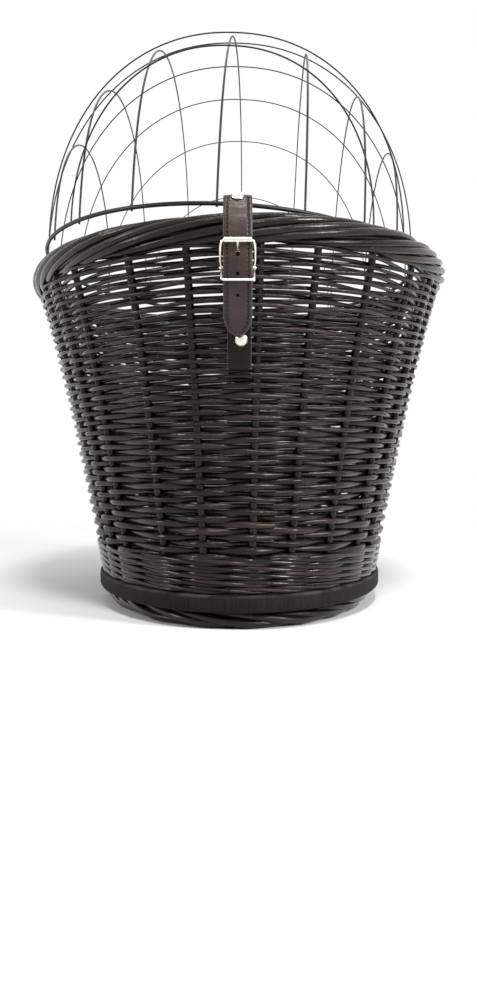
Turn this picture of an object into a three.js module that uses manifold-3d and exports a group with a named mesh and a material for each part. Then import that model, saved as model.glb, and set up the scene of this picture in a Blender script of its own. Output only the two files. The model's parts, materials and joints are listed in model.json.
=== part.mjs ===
// A woven willow basket for the rear rack of a bicycle, with a hinged wire grille over its mouth.
// Millimetres, +Z up, +Y towards the front of the bicycle; the strap that closes the grille is at -Y.
import * as THREE from "three";
import { mergeVertices } from "three/addons/utils/BufferGeometryUtils.js";
import Module from "manifold-3d";

const wasm = await Module();
wasm.setup();

// Clearances
const GAP = 0.3;
const WEAVE_GAP = 0.8;
const HINGE_CLEARANCE = 0.35;
const HOLE_CLEARANCE = 0.3;

// Rack clamps under the base
const RACK_RAIL_DIAMETER = 10;
const RACK_RAIL_SPACING = 124;
const CLAMP_BEYOND_RAIL = 9;
const CLAMP_LENGTH = RACK_RAIL_SPACING + RACK_RAIL_DIAMETER + 2 * CLAMP_BEYOND_RAIL;
const CLAMP_WIDTH = 20;
const CLAMP_THICKNESS = 2;
const CLAMP_DISTANCE = 220;
const SCREW_SPACING = 90;
const SCREW_DIAMETER = 6;
const SCREW_HEAD_DIAMETER = 12;
const SCREW_HEAD_HEIGHT = 3;
const SCREW_SOCKET_WIDTH = 4;
const SCREW_SOCKET_DEPTH = 1.6;
const SCREW_EDGE = 0.6;
const WASHER_DIAMETER = 20;
const WASHER_THICKNESS = 1.5;

// Base board and the border woven under it
const BASE_WIDTH = 236;
const BASE_LENGTH = 434;
const BOARD_OVERHANG = 2;
const BOARD_THICKNESS = 12;
const BOARD_EDGE_RADIUS = 1.5;
const FOOT_WIDTH = 14;
const FOOT_INSET = 5;
const FOOT_SHOULDER = 3;
const FOOT_HEIGHT = GAP + CLAMP_THICKNESS + RACK_RAIL_DIAMETER;

// Woven wall, whose half axes grow from the base to the mouth
const MOUTH_WIDTH = 340;
const MOUTH_LENGTH = 540;
const WALL_HEIGHT = 228;
const WALL_THICKNESS = 11;
const WALL_CURL = 0.12;
const WALL_CURL_POWER = 4;
const WALE_HEIGHT = 23;
const WALE_THICKNESS = 13;
const CLOSE_WEAVE_HEIGHT = 118;

// Weave: the stakes seen in the photograph, in degrees from the near end towards the right, and the rods that
// pass in front of every other stake
const STAKES_SEEN = [-66, -55.5, -45.3, -26.6, -12.1, 4.3, 17.7, 32.3, 48.6];
const STAKE_COUNT = 28;
const STAKE_RADIUS = 2.9;
const ROD_SQUEEZE = 0.5;
const BASE_PITCH = 5;
const MOUTH_PITCH = 2.75;
const PITCH_POWER = 1.3;

// Rolled border round the mouth
const RIM_WIDTH = 22;
const RIM_HEIGHT = 22;
const RIM_OVERHANG = 5;

// Wire grille, a dome on an oval loop that stays inside the mouth's outline. Its cross sections are a little
// fuller than an ellipse, whose power would be 2.
const GRILLE_SIDE_INSET = 15;
const GRILLE_END_INSET = 7;
const GRILLE_WIDTH = MOUTH_WIDTH - 2 * GRILLE_SIDE_INSET;
const GRILLE_LENGTH = MOUTH_LENGTH - 2 * GRILLE_END_INSET;
const GRILLE_HEIGHT = 187;
const GRILLE_POWER = 2.15;
const LOOP_WIRE_RADIUS = 1.5;
const RIB_WIRE_RADIUS = 1;
const HOOP_COUNT = 7;
const HOOP_SHIFT = 7;
const LONG_WIRE_OFFSETS = [0, 57, 100, 130];
const WIRE_STUB = 3.5;
const LOOP_ABOVE_RIM = 5.2;
const GRILLE_YAW = THREE.MathUtils.degToRad(-1.6);
const GRILLE_ROLL = THREE.MathUtils.degToRad(2);

// Leather
const LEATHER = 2.2;
const HINGE_STRAP_WIDTH = 13;
const HINGE_STRAP_OFFSET = 25;
const HINGE_STRAP_DROP = 52;
const HINGE_STRAP_KNEE_DROP = 30;
const HINGE_STRAP_ANGLES = [60, 30, 0, -30];
const STRAP_WIDTH = 18.5;
const STRAP_THICKNESS = 3.2;
const STRAP_OFFSET = -1.1;
const STRAP_END_DROP = 79;
const STRAP_TIP_LENGTH = 15;
const STRAP_EYE_RADIUS = 4.8;
const STRAP_LEVEL = 5;
const STRAP_ANGLES = [55, 28, 0];
const HOLE_SPACING = 13;
const HOLE_RADIUS = 1.1;
const TAB_WIDTH = 15.6;
const TAB_LENGTH = 62;
const TAB_RIVET_OFFSET = 1.1;

// Roller buckle
const BUCKLE_DROP = 36.5;
const BUCKLE_WIRE_RADIUS = 0.8;
const CENTRE_BAR_RADIUS = 1.2;
const ROLLER_RADIUS = 1.75;
const ROLLER_ABOVE_BAR = 15.5;
const LOWER_BAR_BELOW = 8.5;
const STRAP_BEHIND_LOWER_BAR = 2;
const BUCKLE_BULGE = 0.85;
const BUCKLE_SHOULDER = 3.5;
const BUCKLE_LEAN = 2.3;
const BUCKLE_CORNER = 2;
const ROLLER_END_GAP = 0.6;
const PRONG_RADIUS = 0.95;
const PRONG_EYE_WIDTH = 2.4;
const PRONG_EYE_WALL = 1.2;
const PRONG_BEND_REACH = 4.7;
const PRONG_BEND_RISE = 7;
const PRONG_LIP = 2.4;
const PRONG_TIP = 0.9;

// Rivets
const RIVET_HEAD_RADIUS = 3.9;
const RIVET_HEAD_HEIGHT = 2.2;
const RIVET_SHANK_RADIUS = 1.5;
const RIVET_CAP_RADIUS = 3.1;
const RIVET_CAP_HEIGHT = 1.2;
const TAB_RIVET_ABOVE_END = 18.5;
const HINGE_RIVET_ABOVE_END = 8;
const STRAP_RIVET_FROM_WIRE = 5.5;
const STRAP_RIVET_HEAD_HEIGHT = 1.4;
const DOME_PROFILE = [
  [1, 0],
  [1, 0.25],
  [0.75, 0.8],
  [0.35, 1],
  [0, 1],
];

// Facets
const OVAL_SEGMENTS = 48;
const COURSE_HEIGHT = 24;
const LOOP_SEGMENTS = 60;
const RIM_CORNERS = 10;
const WIRE_SIDES = 6;
const ARCH_STEPS = 18;
const BOW_STEPS = 28;
const PRONG_STEPS = 12;
const PRONG_SIDES = 8;
const SMALL_SIDES = 16;

const OUTWARD = { NEAR: -1, FAR: 1 };

const material = (color, roughness, metalness) =>
  new THREE.MeshStandardMaterial({ color, roughness, metalness });
const WILLOW = material(0x1b1614, 0.38, 0);
const WOOD = material(0x141313, 0.75, 0);
const WIRE = material(0x151414, 0.4, 0.2);
const STRAP_LEATHER = material(0x2a1d1a, 0.45, 0);
const TAB_LEATHER = material(0x131111, 0.7, 0);
const NICKEL = material(0xc9c2b8, 0.25, 1);
const STEEL = material(0x9a9b9e, 0.35, 1);

// Solids and the geometry that goes in and out of them

function solid(geometry) {
  const bare = geometry.index ? geometry.toNonIndexed() : geometry.clone();
  bare.deleteAttribute("normal");
  bare.deleteAttribute("uv");
  const merged = mergeVertices(bare, 1e-4);
  return new wasm.Manifold(
    new wasm.Mesh({
      numProp: 3,
      vertProperties: merged.attributes.position.array,
      triVerts: new Uint32Array(merged.index.array),
    }),
  );
}

function geometryOf(body) {
  const { vertProperties, triVerts, numProp, numVert } = body.getMesh();
  const positions = new Float32Array(numVert * 3);
  for (let i = 0; i < numVert; i++) {
    positions.set(vertProperties.subarray(i * numProp, i * numProp + 3), i * 3);
  }
  const geometry = new THREE.BufferGeometry();
  geometry.setAttribute("position", new THREE.BufferAttribute(positions, 3));
  geometry.setIndex(new THREE.BufferAttribute(triVerts, 1));
  geometry.computeVertexNormals();
  return geometry;
}

// Shapes along curves

function polygon(radius, sides) {
  const corners = Array.from({ length: sides }, (_, i) => {
    const angle = (2 * Math.PI * i) / sides;
    return new THREE.Vector2(radius * Math.cos(angle), radius * Math.sin(angle));
  });
  return new THREE.Shape(corners);
}

function tube(curve, radius, steps, sides = WIRE_SIDES) {
  return new THREE.ExtrudeGeometry(polygon(radius, sides), {
    extrudePath: curve,
    steps,
    bevelEnabled: false,
  });
}

// Straight runs joined by rounded corners, through points in the YZ plane or in space.
function roundedPath(points, corner) {
  const path = new THREE.CurvePath();
  let from = points[0];
  for (let i = 1; i < points.length - 1; i++) {
    const before = points[i].clone().lerp(from, cornerShare(points[i], from, corner));
    const after = points[i].clone().lerp(points[i + 1], cornerShare(points[i], points[i + 1], corner));
    path.add(new THREE.LineCurve3(from, before));
    path.add(new THREE.QuadraticBezierCurve3(before, points[i], after));
    from = after;
  }
  path.add(new THREE.LineCurve3(from, points[points.length - 1]));
  return path;
}

function cornerShare(corner, neighbour, radius) {
  return Math.min(0.45, radius / corner.distanceTo(neighbour));
}

// An arch that stands on the ends of its span, with its rise given for each place along it. A positive overrun,
// an angle, carries it on below its ends, and a negative one stops it short of them.
class Arch extends THREE.Curve {
  constructor(halfSpan, overrun, rise, place) {
    super();
    this.halfSpan = halfSpan;
    this.overrun = overrun;
    this.rise = rise;
    this.place = place;
  }

  getPoint(t, target = new THREE.Vector3()) {
    const angle = -this.overrun + t * (Math.PI + 2 * this.overrun);
    const along = -this.halfSpan * Math.cos(angle);
    const height = Math.sign(Math.sin(angle)) * this.rise(along);
    return target.copy(this.place(along, height));
  }
}

// A flat strip of leather: a curve through points in the YZ plane, given a thickness and a width along X.
function strip(points, thickness, width) {
  const centre = new THREE.SplineCurve(points);
  const samples = 3 * points.length;
  const edge = (side) =>
    Array.from({ length: samples + 1 }, (_, i) => {
      const tangent = centre.getTangentAt(i / samples);
      const normal = new THREE.Vector2(-tangent.y, tangent.x);
      return centre.getPointAt(i / samples).addScaledVector(normal, (side * thickness) / 2);
    });
  const outline = new THREE.Shape([...edge(1), ...edge(-1).reverse()]);
  return alongX(outline, width);
}

// A shape drawn in the YZ plane, extruded along X and centred on the YZ plane.
function alongX(shape, width) {
  const geometry = new THREE.ExtrudeGeometry(shape, { depth: width, bevelEnabled: false });
  const basis = new THREE.Matrix4().makeBasis(
    new THREE.Vector3(0, 1, 0),
    new THREE.Vector3(0, 0, 1),
    new THREE.Vector3(1, 0, 0),
  );
  return geometry.applyMatrix4(basis).translate(-width / 2, 0, 0);
}

function rod(radius, length, sides = SMALL_SIDES) {
  return new THREE.CylinderGeometry(radius, radius, length, sides);
}

function rodAlongX(radius, length, y, z) {
  return rod(radius, length).rotateZ(Math.PI / 2).translate(0, y, z);
}

// A round piece spun about +Z from a profile of [radius, height] corners.
function turned(profile, sides = SMALL_SIDES) {
  const points = profile.map(([radius, height]) => new THREE.Vector2(radius, height));
  return new THREE.LatheGeometry(points, sides).rotateX(Math.PI / 2);
}

// The oval plan

const REFERENCE_RADIUS = 100;

// A ring of oval plan, from a closed profile of [offset outwards, height] corners. The offset is measured from
// the oval whose half axes at that height halfAxes gives.
function ovalRing(profile, halfAxes, segments = OVAL_SEGMENTS) {
  const points = [...profile, profile[0]].map(
    ([offset, height]) => new THREE.Vector2(REFERENCE_RADIUS + offset, height),
  );
  const geometry = new THREE.LatheGeometry(points, segments).rotateX(Math.PI / 2);
  const position = geometry.attributes.position;
  for (let i = 0; i < position.count; i++) {
    const radius = Math.hypot(position.getX(i), position.getY(i));
    const offset = radius - REFERENCE_RADIUS;
    const half = halfAxes(position.getZ(i));
    position.setX(i, ((half.x + offset) * position.getX(i)) / radius);
    position.setY(i, ((half.y + offset) * position.getY(i)) / radius);
  }
  return geometry;
}

function ellipseShare(offset, half) {
  return Math.sqrt(1 - (offset / half) ** 2);
}

// Heights of the stacked pieces
const BOARD_BOTTOM = FOOT_HEIGHT;
const BOARD_TOP = BOARD_BOTTOM + BOARD_THICKNESS;
const WALL_BOTTOM = BOARD_TOP + GAP;
const WALL_TOP = WALL_BOTTOM + WALL_HEIGHT;
const RIM_TOP = WALL_TOP + GAP + RIM_HEIGHT;
const LOOP_HEIGHT = RIM_TOP + LOOP_ABOVE_RIM;

// Half axes of the wall's outer face at a height.
function wallHalf(height) {
  const rise = THREE.MathUtils.clamp((height - WALL_BOTTOM) / WALL_HEIGHT, 0, 1);
  const share = (1 - WALL_CURL) * rise + WALL_CURL * rise ** WALL_CURL_POWER;
  return {
    x: THREE.MathUtils.lerp(BASE_WIDTH, MOUTH_WIDTH, share) / 2,
    y: THREE.MathUtils.lerp(BASE_LENGTH, MOUTH_LENGTH, share) / 2,
  };
}

// How far forwards the wall's outer face lies at a height and a sideways offset.
function wallFace(height, offset, outward) {
  const half = wallHalf(height);
  return outward * half.y * ellipseShare(offset, half.x);
}

// The outward normal of the wall's outer face on the YZ plane.
function wallNormal(height, outward) {
  const lean = (wallHalf(height + 1).y - wallHalf(height - 1).y) / 2;
  return new THREE.Vector3(0, outward, -lean).normalize();
}

// The height of one row of weaving.
function weavePitch(height) {
  const rise = (height - WALL_BOTTOM) / WALL_HEIGHT;
  return THREE.MathUtils.lerp(MOUTH_PITCH, BASE_PITCH, (1 - rise) ** PITCH_POWER);
}

// How far a rod's centre line swings to either side of the stakes.
function weaveReach(height) {
  return STAKE_RADIUS + weavePitch(height) / 2 - ROD_SQUEEZE;
}

// The angles of the stakes and of the middles of the bays between them, in turn. The stakes that aren't seen
// share out the way that is left.
function weaveColumns() {
  const half = wallHalf(WALL_BOTTOM + WALL_HEIGHT / 2);
  const seen = STAKES_SEEN.map(THREE.MathUtils.degToRad);
  const from = seen[seen.length - 1];
  const to = seen[0] + 2 * Math.PI;
  const quarter = Math.PI / 2;
  const way = new THREE.EllipseCurve(0, 0, half.x, half.y, from - quarter, to - quarter);
  const bays = STAKE_COUNT - seen.length + 1;
  const hidden = Array.from({ length: bays - 1 }, (_, i) => {
    return THREE.MathUtils.lerp(from, to, way.getUtoTmapping((i + 1) / bays));
  });
  const stakes = [...seen, ...hidden, to];
  return stakes.slice(0, -1).flatMap((angle, i) => [angle, (angle + stakes[i + 1]) / 2]);
}

const COLUMNS = weaveColumns();

// How near an angle is to a stake: 1 at the stake and 0 in the middle of a bay.
function nearStake(angle) {
  const turned = THREE.MathUtils.euclideanModulo(angle - COLUMNS[0], 2 * Math.PI) + COLUMNS[0];
  const next = COLUMNS.findIndex((column) => column > turned);
  const after = next < 0 ? COLUMNS[0] + 2 * Math.PI : COLUMNS[next];
  const before = COLUMNS[(next < 0 ? COLUMNS.length : next) - 1];
  const share = (turned - before) / (after - before);
  return next % 2 === 1 ? 1 - share : share;
}

// The wall's thickness inside its outer face, which the bays are hollowed from.
function wallThickness(angle) {
  return WALL_THICKNESS - weaveReach(WALL_TOP) * (1 - nearStake(angle));
}

// How far forwards or backwards the wall's inner face lies at a height and a sideways offset.
function innerFace(height, offset, outward) {
  const half = wallHalf(height);
  const side = Math.asin(offset / (half.x - WALL_THICKNESS));
  const thickness = wallThickness(outward === OUTWARD.FAR ? Math.PI - side : side);
  return (half.y - thickness) * ellipseShare(offset, half.x - thickness);
}

// The wall's depth from its outer face at the offset touch to the inner face under a cap around x.
function wallDepth(height, touch, x, outward) {
  const spots = [-1, -0.5, 0, 0.5, 1].map((share) => x + share * RIVET_CAP_RADIUS);
  const inner = spots.map((offset) => innerFace(height, offset, outward));
  return wallFace(height, touch, OUTWARD.FAR) - Math.min(...inner);
}

const rimHalf = {
  x: MOUTH_WIDTH / 2 + RIM_OVERHANG,
  y: MOUTH_LENGTH / 2 + RIM_OVERHANG,
};

function rimFace(offset) {
  return rimHalf.y * ellipseShare(offset, rimHalf.x);
}

// Points of the centre line of a strap laid round the outside of the rim, by angle above the level.
function roundRim(outerY, thickness, degrees) {
  const outward = Math.sign(outerY);
  const lift = GAP + thickness / 2;
  const reach = RIM_WIDTH / 2 / Math.cos(Math.PI / RIM_CORNERS) + lift;
  const rise = RIM_HEIGHT / 2 + lift;
  return degrees.map((degree) => {
    const angle = THREE.MathUtils.degToRad(degree);
    return new THREE.Vector2(
      outerY + outward * (reach * Math.cos(angle) - RIM_WIDTH / 2),
      RIM_TOP - RIM_HEIGHT / 2 + rise * Math.sin(angle),
    );
  });
}

// The grille's frame
const loopHalf = { x: GRILLE_WIDTH / 2, y: GRILLE_LENGTH / 2 };
const HINGE_DISTANCE = loopHalf.y * ellipseShare(HINGE_STRAP_OFFSET, loopHalf.x);

function grilleFrame() {
  const group = new THREE.Group();
  group.position.set(0, HINGE_DISTANCE, LOOP_HEIGHT);
  group.rotation.set(0, GRILLE_ROLL, GRILLE_YAW);
  group.updateMatrix();
  return group;
}

function toGrille(geometry) {
  return geometry.applyMatrix4(grilleFrame().matrix);
}

const model = new THREE.Group();

function add(name, geometry, look, parent = model) {
  const mesh = new THREE.Mesh(geometry, look);
  mesh.name = name;
  parent.add(mesh);
  return mesh;
}

// Rack clamps

const clampPlaces = [
  { end: "rear", y: -CLAMP_DISTANCE / 2 },
  { end: "front", y: CLAMP_DISTANCE / 2 },
];
const screwSides = [
  { side: "left", x: -SCREW_SPACING / 2 },
  { side: "right", x: SCREW_SPACING / 2 },
];

function clampPlate() {
  const radius = CLAMP_WIDTH / 2;
  const middle = CLAMP_LENGTH / 2 - radius;
  const outline = new THREE.Shape();
  outline.absarc(middle, 0, radius, -Math.PI / 2, Math.PI / 2);
  outline.absarc(-middle, 0, radius, Math.PI / 2, (3 * Math.PI) / 2);
  for (const { x } of screwSides) {
    const hole = new THREE.Path();
    hole.absarc(x, 0, SCREW_DIAMETER / 2 + HOLE_CLEARANCE, 0, 2 * Math.PI, true);
    outline.holes.push(hole);
  }
  return new THREE.ExtrudeGeometry(outline, {
    depth: CLAMP_THICKNESS,
    bevelEnabled: false,
    curveSegments: SMALL_SIDES / 2,
  });
}

// A low cap screw with its socket, from its tip at z = 0 to the top of its head.
function clampScrew(length) {
  const shank = SCREW_DIAMETER / 2;
  const head = SCREW_HEAD_DIAMETER / 2;
  const top = length + SCREW_HEAD_HEIGHT;
  const body = turned([
    [0, 0],
    [shank - SCREW_EDGE, 0],
    [shank, SCREW_EDGE],
    [shank, length],
    [head, length],
    [head, top - SCREW_EDGE],
    [head - SCREW_EDGE, top],
    [0, top],
  ]);
  const socket = rod(SCREW_SOCKET_WIDTH / 2, 2 * SCREW_SOCKET_DEPTH, 6)
    .rotateX(Math.PI / 2)
    .translate(0, 0, top);
  return geometryOf(solid(body).subtract(solid(socket)));
}

function washer() {
  const inner = SCREW_DIAMETER / 2 + HOLE_CLEARANCE;
  const outer = WASHER_DIAMETER / 2;
  return turned([
    [inner, 0],
    [outer, 0],
    [outer, WASHER_THICKNESS],
    [inner, WASHER_THICKNESS],
    [inner, 0],
  ]);
}

const washerHeight = BOARD_TOP + GAP;
const screwHeadSeat = washerHeight + WASHER_THICKNESS + GAP;
for (const { end, y } of clampPlaces) {
  add(`${end}_clamp_plate`, clampPlate(), STEEL).position.set(0, y, GAP);
  for (const { side, x } of screwSides) {
    add(`${end}_${side}_washer`, washer(), STEEL).position.set(x, y, washerHeight);
    add(`${end}_${side}_clamp_screw`, clampScrew(screwHeadSeat - GAP), STEEL).position.set(x, y, GAP);
  }
}

// Base board, with a hole for each clamp screw

function baseBoard() {
  const outline = new THREE.Shape();
  const half = { x: BASE_WIDTH / 2 + BOARD_OVERHANG, y: BASE_LENGTH / 2 + BOARD_OVERHANG };
  outline.setFromPoints(new THREE.EllipseCurve(0, 0, half.x, half.y).getPoints(OVAL_SEGMENTS).slice(1));
  for (const { y } of clampPlaces) {
    for (const { x } of screwSides) {
      const hole = new THREE.Path();
      hole.absarc(x, y, SCREW_DIAMETER / 2 + HOLE_CLEARANCE, 0, 2 * Math.PI, true);
      outline.holes.push(hole);
    }
  }
  const geometry = new THREE.ExtrudeGeometry(outline, {
    depth: BOARD_THICKNESS - 2 * BOARD_EDGE_RADIUS,
    bevelThickness: BOARD_EDGE_RADIUS,
    bevelSize: BOARD_EDGE_RADIUS,
    bevelOffset: -BOARD_EDGE_RADIUS,
    bevelSegments: 1,
    curveSegments: SMALL_SIDES / 2,
  });
  return geometry.translate(0, 0, BOARD_EDGE_RADIUS);
}

add("base_board", baseBoard(), WOOD).position.z = BOARD_BOTTOM;

// Border under the board, flat where it stands

function footBorder() {
  const outer = -FOOT_INSET;
  const inner = outer - FOOT_WIDTH;
  const top = BOARD_BOTTOM - GAP;
  return ovalRing(
    [
      [inner + FOOT_SHOULDER, 0],
      [outer - FOOT_SHOULDER, 0],
      [outer, FOOT_SHOULDER],
      [outer, top - FOOT_SHOULDER],
      [outer - FOOT_SHOULDER, top],
      [inner + FOOT_SHOULDER, top],
      [inner, top - FOOT_SHOULDER],
      [inner, FOOT_SHOULDER],
    ],
    () => wallHalf(WALL_BOTTOM),
  );
}

add("foot_border", footBorder(), WILLOW);

// Wall: a waled band, close weave above it and open weave up to the mouth

function waleBand() {
  const outside = [WALL_BOTTOM, WALE_TOP].map((z) => [0, z]);
  const inside = [WALE_TOP, WALL_BOTTOM].map((z) => [-WALE_THICKNESS, z]);
  return ovalRing([...outside, ...inside], wallHalf);
}

// A ring at a height of the wall, with a point at each stake and in each bay. offsetAt gives how far outside
// the wall's outer face each lies.
function wallRing(height, offsetAt) {
  const half = wallHalf(height);
  return COLUMNS.map((angle, i) => {
    const offset = offsetAt(angle, i);
    return [(half.x + offset) * Math.sin(angle), -(half.y + offset) * Math.cos(angle), height];
  });
}

// The outer face of one row: flush in front of every other stake, the stake's own face between those, and
// drawn in where the rods cross in the bays.
function wovenRing(height, row) {
  const reach = weaveReach(height);
  const stakeFace = STAKE_RADIUS - reach - weavePitch(height) / 2;
  return wallRing(height, (_, i) => {
    if (i % 2 === 1) return -reach;
    return (row + i / 2) % 2 === 0 ? 0 : stakeFace;
  });
}

// The rows of weaving above the waled band, each with its number and height.
function weaveRows() {
  const rows = [];
  for (let z = WALE_TOP + weavePitch(WALE_TOP) / 2; z < WALL_TOP; z += weavePitch(z)) {
    rows.push({ row: rows.length, z });
  }
  return rows;
}

// A closed stretch of woven wall, with every row outside and the bays' hollows inside.
function wovenWall(bottom, top) {
  const rows = weaveRows().filter(({ z }) => z > bottom + GAP && z < top - GAP);
  const ends = [
    { row: rows[0].row, z: bottom },
    { row: rows[rows.length - 1].row, z: top },
  ];
  const outside = [ends[0], ...rows, ends[1]].map(({ row, z }) => wovenRing(z, row));
  const courses = Math.ceil((top - bottom) / COURSE_HEIGHT);
  const inside = Array.from({ length: courses + 1 }, (_, i) =>
    wallRing(THREE.MathUtils.lerp(top, bottom, i / courses), (angle) => -wallThickness(angle)),
  );
  return closedRings([...outside, ...inside]);
}

// A closed body whose surface runs from each ring of points to the next, and from the last to the first.
function closedRings(rings) {
  const count = rings[0].length;
  const index = rings.flatMap((_, i) =>
    rings[i].flatMap((_, j) => {
      const here = i * count;
      const above = ((i + 1) % rings.length) * count;
      const next = (j + 1) % count;
      return [here + j, here + next, above + next, here + j, above + next, above + j];
    }),
  );
  const geometry = new THREE.BufferGeometry();
  geometry.setAttribute("position", new THREE.Float32BufferAttribute(rings.flat(2), 3));
  geometry.setIndex(index);
  geometry.computeVertexNormals();
  return geometry;
}

const WALE_TOP = WALL_BOTTOM + WALE_HEIGHT;
const CLOSE_WEAVE_TOP = WALE_TOP + CLOSE_WEAVE_HEIGHT;

// Rivets through the leather and the wall

// The corners of a rivet's domed head above its seat.
function dome(height) {
  return DOME_PROFILE.map(([radiusShare, heightShare]) => [
    radiusShare * RIVET_HEAD_RADIUS,
    heightShare * height,
  ]);
}

// A domed rivet with a flat cap inside the wall.
function rivet(place) {
  const cap = -place.grip;
  const shape = turned([
    [0, cap - RIVET_CAP_HEIGHT],
    [RIVET_CAP_RADIUS, cap - RIVET_CAP_HEIGHT],
    [RIVET_CAP_RADIUS, cap],
    [RIVET_SHANK_RADIUS, cap],
    [RIVET_SHANK_RADIUS, 0],
    ...dome(RIVET_HEAD_HEIGHT),
  ]);
  return onWall(shape, place);
}

// Turns +Z to the wall's outward normal at a place, and moves the geometry there.
function onWall(geometry, { point, normal }) {
  const turn = new THREE.Quaternion().setFromUnitVectors(new THREE.Vector3(0, 0, 1), normal);
  return geometry.applyQuaternion(turn).translate(point.x, point.y, point.z);
}

// A rivet through straight leather that touches the curved wall at the offset touch: the seat of its head, its
// outward direction and its grip.
function rivetPlace(x, z, outward, touch, leather) {
  const normal = wallNormal(z, outward);
  const lift = leather + 2 * GAP;
  const point = new THREE.Vector3(x, wallFace(z, touch, outward), z).addScaledVector(normal, lift);
  const grip = lift + wallDepth(z, touch, x, outward) + WEAVE_GAP;
  return { point, normal, grip };
}

const BUCKLE_HEIGHT = RIM_TOP - BUCKLE_DROP;
const TAB_BOTTOM = BUCKLE_HEIGHT - TAB_LENGTH;
const HINGE_STRAP_BOTTOM = RIM_TOP - HINGE_STRAP_DROP;
const HINGE_STRAP_KNEE = RIM_TOP - HINGE_STRAP_KNEE_DROP;
const TAB_STACK = 2 * LEATHER;
const tabRivetPlace = rivetPlace(
  TAB_RIVET_OFFSET,
  TAB_BOTTOM + TAB_RIVET_ABOVE_END,
  OUTWARD.NEAR,
  0,
  TAB_STACK,
);
const HINGE_STRAP_TOUCH = HINGE_STRAP_OFFSET - HINGE_STRAP_WIDTH / 2;
const hingeSides = [
  { side: "left", x: -HINGE_STRAP_OFFSET },
  { side: "right", x: HINGE_STRAP_OFFSET },
];
const hingeRivetPlaces = hingeSides.map(({ x }) =>
  rivetPlace(
    x,
    HINGE_STRAP_BOTTOM + HINGE_RIVET_ABOVE_END,
    OUTWARD.FAR,
    HINGE_STRAP_TOUCH,
    LEATHER,
  ),
);

function rivetHole(place) {
  const length = 4 * (WALL_THICKNESS + TAB_STACK);
  const hole = rod(RIVET_SHANK_RADIUS + HOLE_CLEARANCE, length).rotateX(Math.PI / 2);
  return solid(onWall(hole, place));
}

let openWeave = solid(wovenWall(CLOSE_WEAVE_TOP + GAP, WALL_TOP));
for (const place of [tabRivetPlace, ...hingeRivetPlaces]) {
  openWeave = openWeave.subtract(rivetHole(place));
}
add("wale_band", waleBand(), WILLOW);
add("close_weave_wall", wovenWall(WALE_TOP + GAP, CLOSE_WEAVE_TOP), WILLOW);
add("open_weave_wall", geometryOf(openWeave), WILLOW);

// Rolled border on the wall, hollowed where the leather hinges press into it

function rimBorder() {
  const profile = Array.from({ length: RIM_CORNERS }, (_, i) => {
    const angle = (2 * Math.PI * (i + 0.5)) / RIM_CORNERS;
    return [
      (RIM_WIDTH / 2) * (Math.cos(angle) / Math.cos(Math.PI / RIM_CORNERS) - 1),
      RIM_TOP - (RIM_HEIGHT / 2) * (1 - Math.sin(angle)),
    ];
  });
  let rim = solid(ovalRing(profile, () => rimHalf));
  for (const { x } of hingeSides) {
    rim = rim.subtract(solid(hingeEye(x, GAP)));
  }
  return geometryOf(rim);
}

add("rim_border", rimBorder(), WILLOW);

// Grille

const grille = grilleFrame();
model.add(grille);

// A point of the grille from its place across, its place along from the middle and its height over the loop.
function inGrille(across, along, height) {
  return new THREE.Vector3(across, along - HINGE_DISTANCE, height);
}

function baseLoop(radius) {
  const profile = Array.from({ length: WIRE_SIDES }, (_, i) => {
    const angle = (2 * Math.PI * i) / WIRE_SIDES;
    return [radius * Math.cos(angle), radius * Math.sin(angle)];
  });
  return ovalRing(profile, () => loopHalf, LOOP_SEGMENTS).translate(0, -HINGE_DISTANCE, 0);
}

const powerOf = (share) => Math.abs(share) ** GRILLE_POWER;
const rootOf = (value) => Math.max(0, value) ** (1 / GRILLE_POWER);

class Dome {
  constructor(inset) {
    this.x = loopHalf.x - inset;
    this.y = loopHalf.y - inset;
    this.z = GRILLE_HEIGHT - inset;
  }

  rise(across, along) {
    return this.z * rootOf(powerOf(ellipseShare(along, this.y)) - powerOf(across / this.x));
  }
}

// The hoops stop just above the loop.
function hoop(along) {
  const dome = new Dome(0);
  const share = ellipseShare(along, dome.y);
  const seat = (LOOP_WIRE_RADIUS + GAP) / dome.z;
  const halfSpan = dome.x * share;
  const end = dome.x * rootOf(powerOf(share) - powerOf(seat));
  const arch = new Arch(
    halfSpan,
    -Math.acos(end / halfSpan),
    (across) => dome.rise(across, along),
    (across, height) => inGrille(across, along, height),
  );
  return tube(arch, RIB_WIRE_RADIUS, ARCH_STEPS);
}

// The long wires run inside the hoops and the loop, and end a stub below the loop.
function longWire(across) {
  const dome = new Dome(LOOP_WIRE_RADIUS + RIB_WIRE_RADIUS + GAP);
  const halfSpan = dome.y * ellipseShare(across, dome.x);
  const share = rootOf(powerOf(across / dome.x) + powerOf(WIRE_STUB / dome.z));
  const end = dome.y * ellipseShare(share, 1);
  const arch = new Arch(
    halfSpan,
    Math.acos(end / halfSpan),
    (along) => dome.rise(across, along),
    (along, height) => inGrille(across, along, height),
  );
  return tube(arch, RIB_WIRE_RADIUS, ARCH_STEPS + 2);
}

add("grille_base_loop", baseLoop(LOOP_WIRE_RADIUS), WIRE, grille);
const hoopPitch = GRILLE_LENGTH / (HOOP_COUNT + 1);
for (let i = 0; i < HOOP_COUNT; i++) {
  const along = HOOP_SHIFT + hoopPitch * (i - (HOOP_COUNT - 1) / 2);
  add(`grille_hoop_${i + 1}`, hoop(along), WIRE, grille);
}
LONG_WIRE_OFFSETS.forEach((offset, i) => {
  if (offset === 0) {
    add("grille_long_wire_centre", longWire(0), WIRE, grille);
    return;
  }
  add(`grille_long_wire_left_${i}`, longWire(-offset), WIRE, grille);
  add(`grille_long_wire_right_${i}`, longWire(offset), WIRE, grille);
});

// Leather hinges at the far end

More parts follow.
